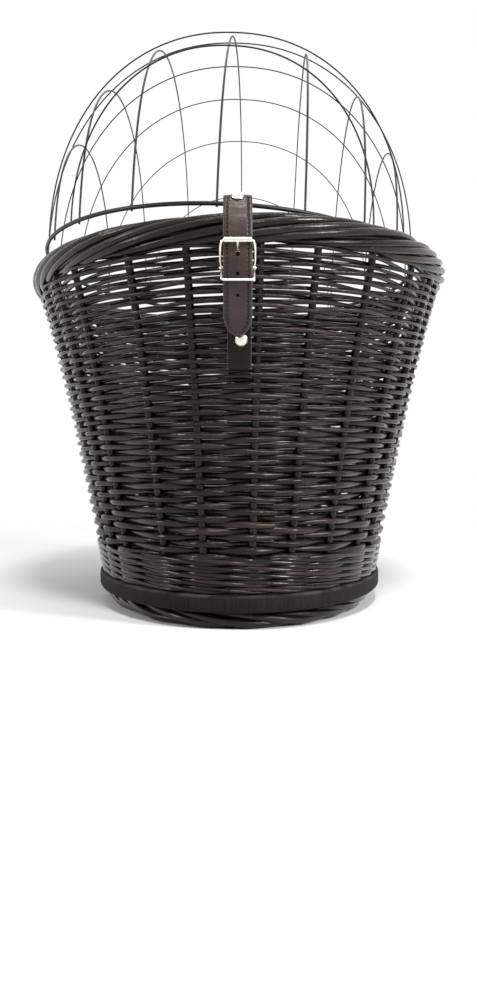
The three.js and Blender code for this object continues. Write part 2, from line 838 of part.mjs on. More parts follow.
// The bore has room for the curved loop wire to turn about the hinge's line.
function hingeBoreRadius() {
  const edges = [-1, 1].map((side) => HINGE_STRAP_OFFSET + (side * HINGE_STRAP_WIDTH) / 2);
  const strays = edges.map((x) => Math.abs(loopHalf.y * ellipseShare(x, loopHalf.x) - HINGE_DISTANCE));
  return Math.max(...strays) + LOOP_WIRE_RADIUS + HINGE_CLEARANCE;
}

// The leather eye, or with a margin the hollow it presses into the rim.
function hingeEye(x, margin) {
  const centre = hingeCentre(x);
  const radius = hingeBoreRadius() + LEATHER + margin;
  return rodAlongX(radius, HINGE_STRAP_WIDTH + 2 * margin, centre.y, centre.z).translate(x, 0, 0);
}

function hingeCentre(x) {
  return new THREE.Vector3(x, 0, 0).applyMatrix4(grilleFrame().matrix);
}

function hingeStrap(x, place) {
  const bore = hingeBoreRadius();
  const centre = hingeCentre(x);
  const rimY = rimFace(HINGE_STRAP_TOUCH);
  const faceY = (z) => wallFace(z, HINGE_STRAP_TOUCH, OUTWARD.FAR) + GAP + LEATHER / 2;
  const path = [
    new THREE.Vector2(centre.y, centre.z + bore + LEATHER / 2),
    ...roundRim(rimY, LEATHER, HINGE_STRAP_ANGLES),
    new THREE.Vector2(faceY(HINGE_STRAP_KNEE), HINGE_STRAP_KNEE),
    new THREE.Vector2(faceY(HINGE_STRAP_BOTTOM), HINGE_STRAP_BOTTOM),
  ];
  const tail = solid(strip(path, LEATHER, HINGE_STRAP_WIDTH).translate(x, 0, 0));
  const eye = solid(hingeEye(x, 0));
  const boreCut = solid(toGrille(rodAlongX(bore, 4 * HINGE_STRAP_OFFSET, 0, 0)));
  return geometryOf(tail.add(eye).subtract(boreCut).subtract(rivetHole(place)));
}

hingeSides.forEach(({ side, x }, i) => {
  add(`${side}_hinge_strap`, hingeStrap(x, hingeRivetPlaces[i]), STRAP_LEATHER);
  add(`${side}_hinge_rivet`, rivet(hingeRivetPlaces[i]), NICKEL);
});

// Buckle, tab and closing strap at the near end, drawn in the YZ plane from the wall outwards

const wallAtBuckle = wallFace(BUCKLE_HEIGHT, 0, OUTWARD.NEAR);
const TAB_EYE_RADIUS = CENTRE_BAR_RADIUS + GAP + LEATHER;
const centreBar = { y: wallAtBuckle - GAP - TAB_EYE_RADIUS, z: BUCKLE_HEIGHT };
const strapHalf = STRAP_THICKNESS / 2;
const rollerHalf = STRAP_WIDTH / 2 - ROLLER_END_GAP;
const strapAtBar = centreBar.y - TAB_EYE_RADIUS - GAP - strapHalf;
const strapAtRim = roundRim(-rimHalf.y, STRAP_THICKNESS, [0])[0].x;
const roller = {
  y: strapAtRim - strapHalf - GAP - ROLLER_RADIUS,
  z: centreBar.z + ROLLER_ABOVE_BAR,
};
const strapWire = loopWireAt(STRAP_OFFSET);
const lowerBar = {
  y: strapAtBar + STRAP_BEHIND_LOWER_BAR - strapHalf - GAP - BUCKLE_WIRE_RADIUS,
  z: centreBar.z - LOWER_BAR_BELOW,
};
const prongBend = { y: centreBar.y - PRONG_BEND_REACH, z: centreBar.z + PRONG_BEND_RISE };
const prongLip = { y: roller.y - ROLLER_RADIUS - GAP - PRONG_RADIUS, z: roller.z - PRONG_LIP };

// Where the near run of the loop wire crosses a place across the basket.
function loopWireAt(x) {
  const crossing = (across) =>
    inGrille(across, -loopHalf.y * ellipseShare(across, loopHalf.x), 0).applyMatrix4(grilleFrame().matrix);
  const slip = x - crossing(x).x;
  return crossing(x + slip);
}

const strapPlace = (geometry) => geometry.translate(STRAP_OFFSET, 0, 0);
const inPlane = ({ y, z }, x = 0) => new THREE.Vector3(x, y, z);

function prongPath() {
  const start = { y: centreBar.y, z: centreBar.z + CENTRE_BAR_RADIUS + GAP + PRONG_RADIUS };
  const tip = { y: prongLip.y, z: roller.z - PRONG_TIP };
  const points = [start, prongBend, prongLip, tip].map((point) => inPlane(point));
  return roundedPath(points, BUCKLE_CORNER);
}

function prong() {
  const inner = CENTRE_BAR_RADIUS + GAP;
  const outer = inner + PRONG_EYE_WALL;
  const half = PRONG_EYE_WIDTH / 2;
  const eye = turned([
    [inner, -half],
    [outer, -half],
    [outer, half],
    [inner, half],
    [inner, -half],
  ])
    .rotateY(Math.PI / 2)
    .translate(0, centreBar.y, centreBar.z);
  const needle = solid(tube(prongPath(), PRONG_RADIUS, PRONG_STEPS, PRONG_SIDES));
  const bore = solid(rodAlongX(inner, 2 * PRONG_EYE_WIDTH, centreBar.y, centreBar.z));
  return strapPlace(geometryOf(solid(eye).add(needle.subtract(bore))));
}

function buckleFrame() {
  const pinch = STRAP_WIDTH / 2 + BUCKLE_WIRE_RADIUS;
  const wide = pinch + BUCKLE_BULGE;
  const top = rollerHalf + GAP + BUCKLE_WIRE_RADIUS;
  const upper = [
    [pinch, centreBar.y, centreBar.z],
    [wide, centreBar.y - BUCKLE_LEAN, centreBar.z + BUCKLE_SHOULDER],
    [wide, roller.y + BUCKLE_LEAN, roller.z - BUCKLE_SHOULDER],
    [top, roller.y, roller.z],
  ];
  const lower = [
    [pinch, centreBar.y, centreBar.z],
    [pinch + GAP, lowerBar.y + BUCKLE_LEAN, lowerBar.z + BUCKLE_SHOULDER],
    [pinch + GAP, lowerBar.y, lowerBar.z],
  ];
  const bow = (half) => {
    const right = half.map(([x, y, z]) => new THREE.Vector3(x, y, z));
    const left = half.map(([x, y, z]) => new THREE.Vector3(-x, y, z)).reverse();
    return solid(tube(roundedPath([...right, ...left], BUCKLE_CORNER), BUCKLE_WIRE_RADIUS, BOW_STEPS));
  };
  const bar = solid(rodAlongX(CENTRE_BAR_RADIUS, 2 * pinch, centreBar.y, centreBar.z));
  return strapPlace(geometryOf(bow(upper).add(bow(lower)).add(bar)));
}

function buckleRoller() {
  const inner = BUCKLE_WIRE_RADIUS + GAP;
  const tubeShape = turned([
    [inner, -rollerHalf],
    [ROLLER_RADIUS, -rollerHalf],
    [ROLLER_RADIUS, rollerHalf],
    [inner, rollerHalf],
    [inner, -rollerHalf],
  ]);
  return strapPlace(tubeShape.rotateY(Math.PI / 2).translate(0, roller.y, roller.z));
}

// The tab is folded round the centre bar, with a slot that the prong turns in.
function anchorTab() {
  const faceY = (z) => wallFace(z, 0, OUTWARD.NEAR) - GAP - TAB_STACK / 2;
  const heights = [TAB_BOTTOM, TAB_BOTTOM + 0.4 * TAB_LENGTH, TAB_BOTTOM + 0.75 * TAB_LENGTH];
  const path = heights.map((z) => new THREE.Vector2(faceY(z), z));
  path.push(new THREE.Vector2(centreBar.y + GAP, centreBar.z - CENTRE_BAR_RADIUS - GAP));
  const fold = solid(strip(path, TAB_STACK, TAB_WIDTH));
  const eye = solid(rodAlongX(TAB_EYE_RADIUS, TAB_WIDTH, centreBar.y, centreBar.z));
  const bore = solid(rodAlongX(CENTRE_BAR_RADIUS + GAP, 2 * TAB_WIDTH, centreBar.y, centreBar.z));
  const slotSize = { x: PRONG_EYE_WIDTH + 2 * GAP, y: 4 * TAB_EYE_RADIUS, z: 2 * (TAB_EYE_RADIUS + GAP) };
  const slotBlock = new THREE.BoxGeometry(slotSize.x, slotSize.y, slotSize.z);
  const slot = solid(strapPlace(slotBlock.translate(0, centreBar.y, centreBar.z)));
  const shaped = fold.add(eye).subtract(bore).subtract(slot);
  return geometryOf(shaped.subtract(rivetHole(tabRivetPlace)));
}

// The strap hangs from the loop wire, lies over the rim and runs behind the roller and the lower bar.
function strapCentreLine() {
  const tip = RIM_TOP - STRAP_END_DROP;
  const tipY = tabRivetPlace.point.y - RIVET_HEAD_HEIGHT - GAP - strapHalf;
  const middle = 0.5 * (strapAtBar + STRAP_BEHIND_LOWER_BAR + tipY);
  const top = strapWire.z + STRAP_EYE_RADIUS - strapHalf;
  return [
    new THREE.Vector2(strapWire.y, top),
    new THREE.Vector2(strapWire.y - STRAP_LEVEL, top),
    ...roundRim(-rimHalf.y, STRAP_THICKNESS, STRAP_ANGLES),
    new THREE.Vector2(strapAtRim, roller.z),
    new THREE.Vector2(strapAtBar, centreBar.z),
    new THREE.Vector2(strapAtBar + STRAP_BEHIND_LOWER_BAR, lowerBar.z),
    new THREE.Vector2(middle, 0.5 * (lowerBar.z + tip)),
    new THREE.Vector2(tipY, tip),
  ];
}

function closingStrap() {
  const path = strapCentreLine();
  const length = 2 * STRAP_END_DROP;
  const band = solid(strip(path, STRAP_THICKNESS, STRAP_WIDTH));
  const eye = solid(rodAlongX(STRAP_EYE_RADIUS, STRAP_WIDTH, strapWire.y, strapWire.z));
  const outline = new THREE.Shape();
  outline.moveTo(STRAP_WIDTH / 2, length);
  outline.lineTo(-STRAP_WIDTH / 2, length);
  outline.lineTo(-STRAP_WIDTH / 2, STRAP_TIP_LENGTH);
  outline.absellipse(0, STRAP_TIP_LENGTH, STRAP_WIDTH / 2, STRAP_TIP_LENGTH, Math.PI, 2 * Math.PI);
  const depth = 4 * RIM_WIDTH;
  const cutter = new THREE.ExtrudeGeometry(outline, { depth, bevelEnabled: false, curveSegments: 10 })
    .rotateX(Math.PI / 2)
    .translate(0, strapAtRim + depth / 2, path[path.length - 1].y);
  let strap = band.add(eye).intersect(solid(cutter));
  for (let i = 1; i <= 2; i++) {
    const height = prongBend.z - i * HOLE_SPACING;
    const hole = rod(HOLE_RADIUS, 6 * STRAP_THICKNESS).translate(0, strapAtBar, height);
    strap = strap.subtract(solid(hole));
  }
  strap = strap.subtract(solid(tube(prongPath(), PRONG_RADIUS + GAP, PRONG_STEPS, PRONG_SIDES)));
  strap = strap.subtract(solid(shoulderRivet(RIVET_SHANK_RADIUS + HOLE_CLEARANCE)));
  const placed = solid(strapPlace(geometryOf(strap)));
  return geometryOf(placed.subtract(solid(toGrille(baseLoop(LOOP_WIRE_RADIUS + GAP)))));
}

// A rivet through the strap's shoulder, just outside the loop wire.
function shoulderRivet(shankRadius) {
  const line = new THREE.SplineCurve(strapCentreLine());
  const share = STRAP_RIVET_FROM_WIRE / line.getLength();
  const tangent = line.getTangentAt(share);
  const seat = line.getPointAt(share);
  const normal = new THREE.Vector3(0, -Math.abs(tangent.y), Math.abs(tangent.x));
  const point = new THREE.Vector3(0, seat.x, seat.y).addScaledVector(normal, strapHalf + GAP);
  const shape = turned([
    [0, -STRAP_THICKNESS],
    [shankRadius, -STRAP_THICKNESS],
    [shankRadius, 0],
    ...dome(STRAP_RIVET_HEAD_HEIGHT),
  ]);
  return onWall(shape, { point, normal });
}

add("buckle_frame", buckleFrame(), NICKEL);
add("buckle_roller", buckleRoller(), NICKEL);
add("buckle_prong", prong(), NICKEL);
add("anchor_tab", anchorTab(), TAB_LEATHER);
add("tab_rivet", rivet(tabRivetPlace), NICKEL);
add("closing_strap", closingStrap(), STRAP_LEATHER);
add("strap_rivet", strapPlace(shoulderRivet(RIVET_SHANK_RADIUS)), NICKEL);

// The part stands centred over its origin.
const extent = new THREE.Box3().setFromObject(model, true);
model.position.y = -(extent.min.y + extent.max.y) / 2;
const root = new THREE.Group();
root.add(model);

export default root;
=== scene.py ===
"""Looks for a bicycle basket: woven willow, a wire grille, leather and a roller buckle, in a plain studio."""

import json
import logging
import math
from collections.abc import Iterable, Sequence
from dataclasses import dataclass, field
from enum import Enum

import bmesh
import bpy
import numpy as np
from mathutils import Matrix, Vector


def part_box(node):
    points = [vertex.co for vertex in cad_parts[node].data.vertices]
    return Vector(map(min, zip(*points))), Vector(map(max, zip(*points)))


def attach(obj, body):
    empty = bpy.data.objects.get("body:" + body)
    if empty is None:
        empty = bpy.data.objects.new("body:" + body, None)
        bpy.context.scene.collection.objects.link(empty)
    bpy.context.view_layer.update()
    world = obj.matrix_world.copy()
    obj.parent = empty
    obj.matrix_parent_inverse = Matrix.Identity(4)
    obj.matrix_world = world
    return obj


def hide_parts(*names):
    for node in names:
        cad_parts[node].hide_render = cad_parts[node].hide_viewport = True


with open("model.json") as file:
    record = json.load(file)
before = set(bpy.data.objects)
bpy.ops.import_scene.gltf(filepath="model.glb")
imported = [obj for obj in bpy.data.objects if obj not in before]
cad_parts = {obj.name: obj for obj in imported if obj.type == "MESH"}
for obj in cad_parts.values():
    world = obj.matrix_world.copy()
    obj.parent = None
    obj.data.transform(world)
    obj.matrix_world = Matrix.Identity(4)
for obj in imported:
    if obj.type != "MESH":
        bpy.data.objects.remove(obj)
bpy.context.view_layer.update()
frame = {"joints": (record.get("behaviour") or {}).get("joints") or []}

MM = 0.001
SEED = 28

ROUND_SIDES = 12
FINE_SIDES = 16
SMOOTH_BELOW = 35.0
LEATHER_SMOOTH_BELOW = 50.0
THREAD_SMOOTH_BELOW = 30.0
LONGEST_BEND = 0.48
DOME_TURN = 0.47 * math.pi

log = logging.getLogger("basket")

Array = np.ndarray
Piece = bpy.types.Object
Material = bpy.types.Material
Socket = bpy.types.NodeSocket
Value = float | int | bool | str | tuple | Socket
Inputs = dict[str | int, Value]
Pair = tuple[float, float]
Pairs = Sequence[Pair]
Triple = tuple[float, float, float]

UP = Vector((0.0, 0.0, 1.0))


class Body(Enum):
    """The bodies of the frame that pieces ride on."""

    BASKET = "basket"
    GRILLE = "grille"
    STRAP = "strap"
    BUCKLE = "buckle"
    PRONG = "prong"
    ROLLER = "roller"


class Slot(Enum):
    """The record's material slots."""

    WILLOW = "stained_willow"
    BOARD = "stained_board"
    WIRE = "coated_wire"
    STRAP = "strap_leather"
    TAB = "tab_leather"
    NICKEL = "nickel"
    ZINC = "zinc_steel"


class Side(Enum):
    """Which way a piece of leather faces: towards the strap's end of the basket or towards the hinges."""

    NEAR = -1
    FAR = 1


# Node trees


class Tree:
    """Adds nodes to a node tree and joins them."""

    def __init__(self, tree: bpy.types.NodeTree) -> None:
        """Keeps the tree that the nodes go into."""
        self.tree = tree

    def add(self, kind: str, inputs: Inputs | None = None, **settings: object) -> bpy.types.Node:
        """Adds one node.

        Args:
            kind: The node's type.
            inputs: A value or a socket for each input, by name or number.
            settings: The node's own properties.

        Returns:
            The new node.
        """
        node = self.tree.nodes.new(kind)
        for name, value in settings.items():
            setattr(node, name, value)
        for key, value in (inputs or {}).items():
            if isinstance(value, Socket):
                self.tree.links.new(value, node.inputs[key])
            else:
                node.inputs[key].default_value = value
        return node

    def math(self, operation: str, first: Value, second: Value = 0.0) -> Socket:
        """Adds a Math node of two values and returns its result."""
        return self.add("ShaderNodeMath", {0: first, 1: second}, operation=operation).outputs[0]

    def remap(self, value: Value, low: float, high: float, to_low: float, to_high: float) -> Socket:
        """Adds a clamped Map Range node and returns its result."""
        node = self.add("ShaderNodeMapRange", {0: value, 1: low, 2: high, 3: to_low, 4: to_high})
        return node.outputs[0]


class ShaderTree(Tree):
    """A material's node tree, which starts with a Principled shader joined to its output."""

    def __init__(self, name: str) -> None:
        """Makes the material."""
        self.material = bpy.data.materials.new(name)
        self.material.use_nodes = True
        super().__init__(self.material.node_tree)
        self.shader = self.tree.nodes["Principled BSDF"]
        self.place = self.add("ShaderNodeTexCoord").outputs["Object"]

    def attribute(self, name: str) -> Socket:
        """Reads a number that the mesh carries."""
        return self.add("ShaderNodeAttribute", attribute_name=name).outputs["Fac"]

    def scaled(self, scale: Triple, vector: Socket | None = None) -> Socket:
        """Stretches a pattern's coordinates, by default the object's own."""
        node = self.add("ShaderNodeMapping", {"Vector": vector or self.place, "Scale": scale})
        return node.outputs[0]

    def noise(self, vector: Socket, scale: float, detail: float = 3.0) -> Socket:
        """Adds a Noise Texture and returns its grey value."""
        return self.add("ShaderNodeTexNoise", {"Vector": vector, "Scale": scale, "Detail": detail}).outputs[0]

    def mix(self, share: Value, first: Value, second: Value) -> Socket:
        """Mixes two colours, each a colour or a socket."""
        first, second = (side if isinstance(side, Socket) else opaque(side) for side in (first, second))
        return self.add("ShaderNodeMix", {0: share, 6: first, 7: second}, data_type="RGBA").outputs[2]

    def bump(self, height: Socket, distance: float, below: Value | None = None) -> Socket:
        """Turns a height pattern into a normal, on top of another where one is given."""
        inputs: Inputs = {"Height": height, "Distance": distance, "Strength": 1.0}
        if below is not None:
            inputs["Normal"] = below
        return self.add("ShaderNodeBump", inputs).outputs[0]

    def finish(self, **inputs: Value) -> Material:
        """Sets the shader's inputs, whose names have _ for a space, and returns the material."""
        for name, value in inputs.items():
            socket = self.shader.inputs[name.replace("_", " ")]
            if isinstance(value, Socket):
                self.tree.links.new(value, socket)
            else:
                socket.default_value = opaque(value) if isinstance(value, tuple) else value
        return self.material


def opaque(colour: Sequence[float]) -> tuple[float, float, float, float]:
    """Gives a colour its alpha of 1."""
    return (colour[0], colour[1], colour[2], 1.0)


# Finishes


@dataclass(frozen=True)
class WillowFinish:
    """Willow rods stained almost black, some of them browner, with a satin varnish."""

    dark: Triple = (0.0030, 0.0023, 0.0019)
    light: Triple = (0.014, 0.0108, 0.009)
    reddish: Triple = (0.024, 0.0155, 0.0125)
    shine: Triple = (1.0, 0.92, 0.85)
    roughness: Pair = (0.12, 0.24)
    specular: float = 0.22
    fibre: float = 0.00012
    fibre_scale: Triple = (90.0, 9.0, 1.0)
    patch_scale: Triple = (26.0, 1.0, 1.0)
    knot_scale: float = 260.0
    pattern_step: float = 97.0
    light_tints: Pair = (0.0, 0.75)
    reddish_tints: Pair = (0.84, 0.96)

    def build(self) -> Material:
        """Makes the material, whose grain follows each rod."""
        tree = ShaderTree("stained_willow")
        tint = tree.attribute("tint")
        along = tree.attribute("along")
        around = tree.attribute("around")
        apart = tree.math("MULTIPLY", tint, self.pattern_step)
        rod = tree.add("ShaderNodeCombineXYZ", {0: along, 1: around, 2: apart}).outputs[0]
        fibres = tree.noise(tree.scaled(self.fibre_scale, rod), 1.0, 5.0)
        patches = tree.noise(tree.scaled(self.patch_scale, rod), 1.0, 2.0)
        knots = tree.noise(tree.place, self.knot_scale, 2.0)
        brown = tree.mix(tree.remap(tint, *self.light_tints, 0.0, 1.0), self.dark, self.light)
        warm = tree.mix(tree.remap(tint, *self.reddish_tints, 0.0, 1.0), brown, self.reddish)
        streaked = tree.mix(tree.remap(fibres, 0.35, 0.75, 0.0, 0.75), warm, self.dark)
        worn = tree.mix(tree.remap(patches, 0.55, 0.80, 0.0, 0.5), streaked, self.light)
        shine = tree.remap(tree.math("ADD", patches, fibres), 0.7, 1.3, *self.roughness)
        fine = tree.bump(fibres, self.fibre)
        return tree.finish(
            Base_Color=worn,
            Roughness=shine,
            Normal=tree.bump(knots, 1.6 * self.fibre, fine),
            Specular_IOR_Level=self.specular,
            Specular_Tint=self.shine,
        )


@dataclass(frozen=True)
class BoardFinish:
    """Plywood stained a matt charcoal, with fine upright grain at its edge."""

    colour: Triple = (0.0032, 0.0027, 0.0023)
    worn: Triple = (0.018, 0.0155, 0.0135)
    scuff: Triple = (0.055, 0.049, 0.044)
    brink: Pair = (0.0222, 0.0242)
    roughness: Pair = (0.62, 0.85)
    specular: float = 0.1
    grain: float = 0.0002
    edge_scale: Triple = (900.0, 900.0, 70.0)
    face_scale: Triple = (420.0, 14.0, 420.0)
    rub_scale: float = 60.0

    def build(self) -> Material:
        """Makes the material."""
        tree = ShaderTree("stained_board")
        edge = tree.noise(tree.scaled(self.edge_scale), 1.0, 3.0)
        face = tree.noise(tree.scaled(self.face_scale), 1.0, 4.0)
        normal = tree.add("ShaderNodeNewGeometry").outputs["Normal"]
        upright = tree.add("ShaderNodeSeparateXYZ", {0: normal}).outputs["Z"]
        flat = tree.remap(tree.math("ABSOLUTE", upright), 0.6, 0.9, 0.0, 1.0)
        grain = tree.add("ShaderNodeMix", {0: flat, 2: edge, 3: face}).outputs[0]
        rubbed = tree.noise(tree.place, self.rub_scale, 4.0)
        stained = tree.mix(tree.remap(grain, 0.35, 0.75, 0.0, 0.7), self.colour, self.worn)
        dusty = tree.mix(tree.remap(rubbed, 0.52, 0.75, 0.0, 0.35), stained, self.worn)
        height = tree.add("ShaderNodeSeparateXYZ", {0: tree.place}).outputs["Z"]
        near_top = tree.remap(height, *self.brink, 0.0, 1.0)
        chipped = tree.remap(rubbed, 0.4, 0.6, 0.1, 0.9)
        scuffed = tree.mix(tree.math("MULTIPLY", near_top, chipped), dusty, self.scuff)
        return tree.finish(
            Base_Color=scuffed,
            Roughness=tree.remap(grain, 0.3, 0.7, *self.roughness),
            Normal=tree.bump(grain, self.grain),
            Specular_IOR_Level=self.specular,
        )


@dataclass(frozen=True)
class WireFinish:
    """Steel wire with a satin black coating."""

    colour: Triple = (0.006, 0.0055, 0.0055)
    rubbed: Triple = (0.018, 0.016, 0.015)
    roughness: Pair = (0.34, 0.48)
    specular: float = 0.25
    peel: float = 0.00004
    peel_scale: float = 1400.0
    rub_scale: float = 70.0

    def build(self) -> Material:
        """Makes the material."""
        tree = ShaderTree("coated_wire")
        fine = tree.noise(tree.place, self.peel_scale, 2.0)
        broad = tree.noise(tree.place, self.rub_scale, 3.0)
        colour = tree.mix(tree.remap(broad, 0.5, 0.8, 0.0, 0.6), self.colour, self.rubbed)
        return tree.finish(
            Base_Color=colour,
            Roughness=tree.remap(broad, 0.3, 0.7, *self.roughness),
            Normal=tree.bump(fine, self.peel),
            Specular_IOR_Level=self.specular,
        )


@dataclass(frozen=True)
class LeatherFinish:
    """Dyed leather with pores and creases, paler where its edges are worn, with a painted highlight where it
    is bent and painted shade along its stitching.
    """

    name: str
    colour: Triple
    # a paler, redder colour, mixed in at random as mottling and painted on as a highlight where the leather
    # is bent
    mottle_and_highlight: Triple
    worn: Triple
    roughness: Pair
    shine: float
    # painted shade: the darker colour mixed in along the stitching
    shaded_groove: Triple = (0.004, 0.0033, 0.003)
    groove_depth: float = 0.0004
    pores: float = 0.0001
    pore_scale: float = 1500.0
    crease_scale: Triple = (180.0, 420.0, 420.0)
    cloud_scale: float = 55.0

    def build(self) -> Material:
        """Makes the material, which reads the leather's worn edge, the painted shade along its stitching and
        the painted highlight where it is bent.
        """
        tree = ShaderTree(self.name)
        cells = tree.add("ShaderNodeTexVoronoi", {"Vector": tree.place, "Scale": self.pore_scale}).outputs[0]
        creases = tree.noise(tree.scaled(self.crease_scale), 1.0, 5.0)
        cloud = tree.noise(tree.place, self.cloud_scale, 4.0)
        warm = tree.mix(tree.remap(cloud, 0.4, 0.7, 0.0, 0.55), self.colour, self.mottle_and_highlight)
        # painted highlight: the paler, redder colour mixed in where the leather is bent
        bent = tree.mix(tree.math("MULTIPLY", tree.attribute("bend"), 0.8), warm, self.mottle_and_highlight)
        frayed = tree.math("MULTIPLY", tree.attribute("edge"), tree.remap(creases, 0.3, 0.6, 0.35, 1.0))
        # painted shade: darker along the stitching
        with_stitch_shade = tree.mix(tree.math("MULTIPLY", tree.attribute("shaded_groove"), 0.7), bent, self.shaded_groove)
        colour = tree.mix(frayed, with_stitch_shade, self.worn)
        pores = tree.bump(cells, self.pores)
        wrinkles = tree.bump(creases, 2.5 * self.pores, pores)
        shaded_groove = tree.bump(tree.attribute("shaded_groove"), -self.groove_depth, wrinkles)
        return tree.finish(
            Base_Color=colour,
            Roughness=tree.remap(cloud, 0.3, 0.7, *self.roughness),
            Normal=shaded_groove,
            Specular_IOR_Level=self.shine,
        )


@dataclass(frozen=True)
class ThreadFinish:
    """Waxed dark thread with a fine twist."""

    colour: Triple = (0.0025, 0.002, 0.002)
    pale: Triple = (0.008, 0.006, 0.006)
    roughness: float = 0.5
    specular: float = 0.2
    twist: float = 0.0001
    twist_scale: float = 3000.0

    def build(self) -> Material:
        """Makes the material."""
        tree = ShaderTree("waxed_thread")
        twist = tree.noise(tree.place, self.twist_scale, 1.0)
        return tree.finish(
            Base_Color=tree.mix(twist, self.colour, self.pale),
            Roughness=self.roughness,
            Normal=tree.bump(twist, self.twist),
            Specular_IOR_Level=self.specular,
        )


@dataclass(frozen=True)
class MetalFinish:
    """Plated metal with faint scratches and dull patches."""

    name: str
    colour: Triple
    dull: Triple
    roughness: Pair
    scratch: float = 0.00002
    scratch_scale: float = 1200.0
    cloud_scale: float = 240.0

    def build(self) -> Material:
        """Makes the material."""
        tree = ShaderTree(self.name)
        lines = tree.noise(tree.scaled((3.0, 1.0, 1.0)), self.scratch_scale, 3.0)
        cloud = tree.noise(tree.place, self.cloud_scale, 3.0)
        return tree.finish(
            Base_Color=tree.mix(tree.remap(cloud, 0.45, 0.75, 0.0, 0.8), self.colour, self.dull),
            Metallic=1.0,
            Roughness=tree.remap(cloud, 0.35, 0.7, *self.roughness),
            Normal=tree.bump(lines, self.scratch),
        )


# Meshes


@dataclass
class Strand:
    """The centre line of one rod or wire, with its radius at each point."""

    points: Array
    radii: Array
    tint: float = 0.0
    closed: bool = False


def new_piece(name: str, mesh: bpy.types.Mesh) -> Piece:
    """Puts a mesh into the scene as a piece at the origin."""
    piece = bpy.data.objects.new(name, mesh)
    bpy.context.scene.collection.objects.link(piece)
    return piece


def from_bmesh(name: str, work: bmesh.types.BMesh, smooth: bool = True) -> Piece:
    """Turns a finished bmesh into a piece, with its faces outwards.

    Args:
        name: The piece's name.
        work: The mesh, which is freed.
        smooth: Whether its faces are shaded smooth.

    Returns:
        The new piece.
    """
    bmesh.ops.recalc_face_normals(work, faces=work.faces)
    for face in work.faces:
        face.smooth = smooth
    mesh = bpy.data.meshes.new(name)
    work.to_mesh(mesh)
    work.free()
    return new_piece(name, mesh)


def skin(name: str, rings: Sequence[Sequence[Sequence[float]]]) -> Piece:
    """Joins rings of places into a closed piece, with a face over each end.

    Args:
        name: The piece's name.
        rings: The rings from one end to the other, all with as many places.

    Returns:
        The new piece.
    """
    work = bmesh.new()
    loops = [[work.verts.new(place) for place in ring] for ring in rings]
    for below, above in zip(loops, loops[1:]):
        for i in range(len(below)):
            j = (i + 1) % len(below)
            work.faces.new((below[i], below[j], above[j], above[i]))
    work.faces.new(list(reversed(loops[0])))
    work.faces.new(loops[-1])
    return from_bmesh(name, work)


def evaluated(piece: Piece) -> Piece:
    """Replaces a piece that has modifiers by a plain one of the same name, and returns the plain one."""
    name = piece.name
    graph = bpy.context.evaluated_depsgraph_get()
    mesh = bpy.data.meshes.new_from_object(
        piece.evaluated_get(graph), preserve_all_data_layers=True, depsgraph=graph
    )
    bpy.data.objects.remove(piece)
    mesh.name = name
    return new_piece(name, mesh)


def cut(piece: Piece, tool: Piece) -> Piece:
    """Cuts one mesh out of another.

    Args:
        piece: The mesh that is cut.
        tool: The mesh that is taken out of it, which is then removed.

    Returns:
        The cut piece.
    """
    modifier = piece.modifiers.new("cut", "BOOLEAN")
    modifier.operation = "DIFFERENCE"
    modifier.object = tool
    modifier.solver = "EXACT"
    piece = evaluated(piece)
    bpy.data.objects.remove(tool)
    return piece


def drill_hole(
    work: bmesh.types.BMesh, shape: Matrix, radius: float, depth: float, segments: int = 32
) -> None:
    """Adds an upright cylinder, placed by a matrix, to a mesh that is to be cut out of a piece."""
    bmesh.ops.create_cone(
        work,
        cap_ends=True,
        segments=segments,
        radius1=radius,
        radius2=radius,
        depth=depth,
        matrix=shape,
    )


def coat(piece: Piece, material: Material) -> None:
    """Gives a piece its only material."""
    piece.data.materials.clear()
    piece.data.materials.append(material)


def sharp_corners(piece: Piece, degrees: float) -> None:
    """Shades a piece smooth except across edges sharper than an angle."""
    piece.data.shade_smooth()
    piece.data.set_sharp_from_angle(angle=math.radians(degrees))


def guide(name: str, strands: Iterable[Strand]) -> Piece:
    """Lays centre lines as loose edges that carry their thickness and tint.

    Args:
        name: The name of the new object.
        strands: The centre lines.

    Returns:
        The object that a Geometry Nodes tree then works on.
    """
    places: list[Array] = []
    edges: list[tuple[int, int]] = []
    radii: list[Array] = []
    tints: list[Array] = []
    start = 0
    for strand in strands:
        count = len(strand.points)
        places.append(strand.points)
        radii.append(np.broadcast_to(strand.radii, count))
        tints.append(np.full(count, strand.tint))
        edges.extend((start + i, start + i + 1) for i in range(count - 1))
        if strand.closed:
            edges.append((start + count - 1, start))
        start += count
    mesh = bpy.data.meshes.new(name)
    mesh.from_pydata(np.concatenate(places).tolist(), edges, [])
    for label, values in (("thickness", radii), ("tint", tints)):
        layer = mesh.attributes.new(label, "FLOAT", "POINT")
        layer.data.foreach_set("value", np.concatenate(values).astype(np.float32))
    return new_piece(name, mesh)


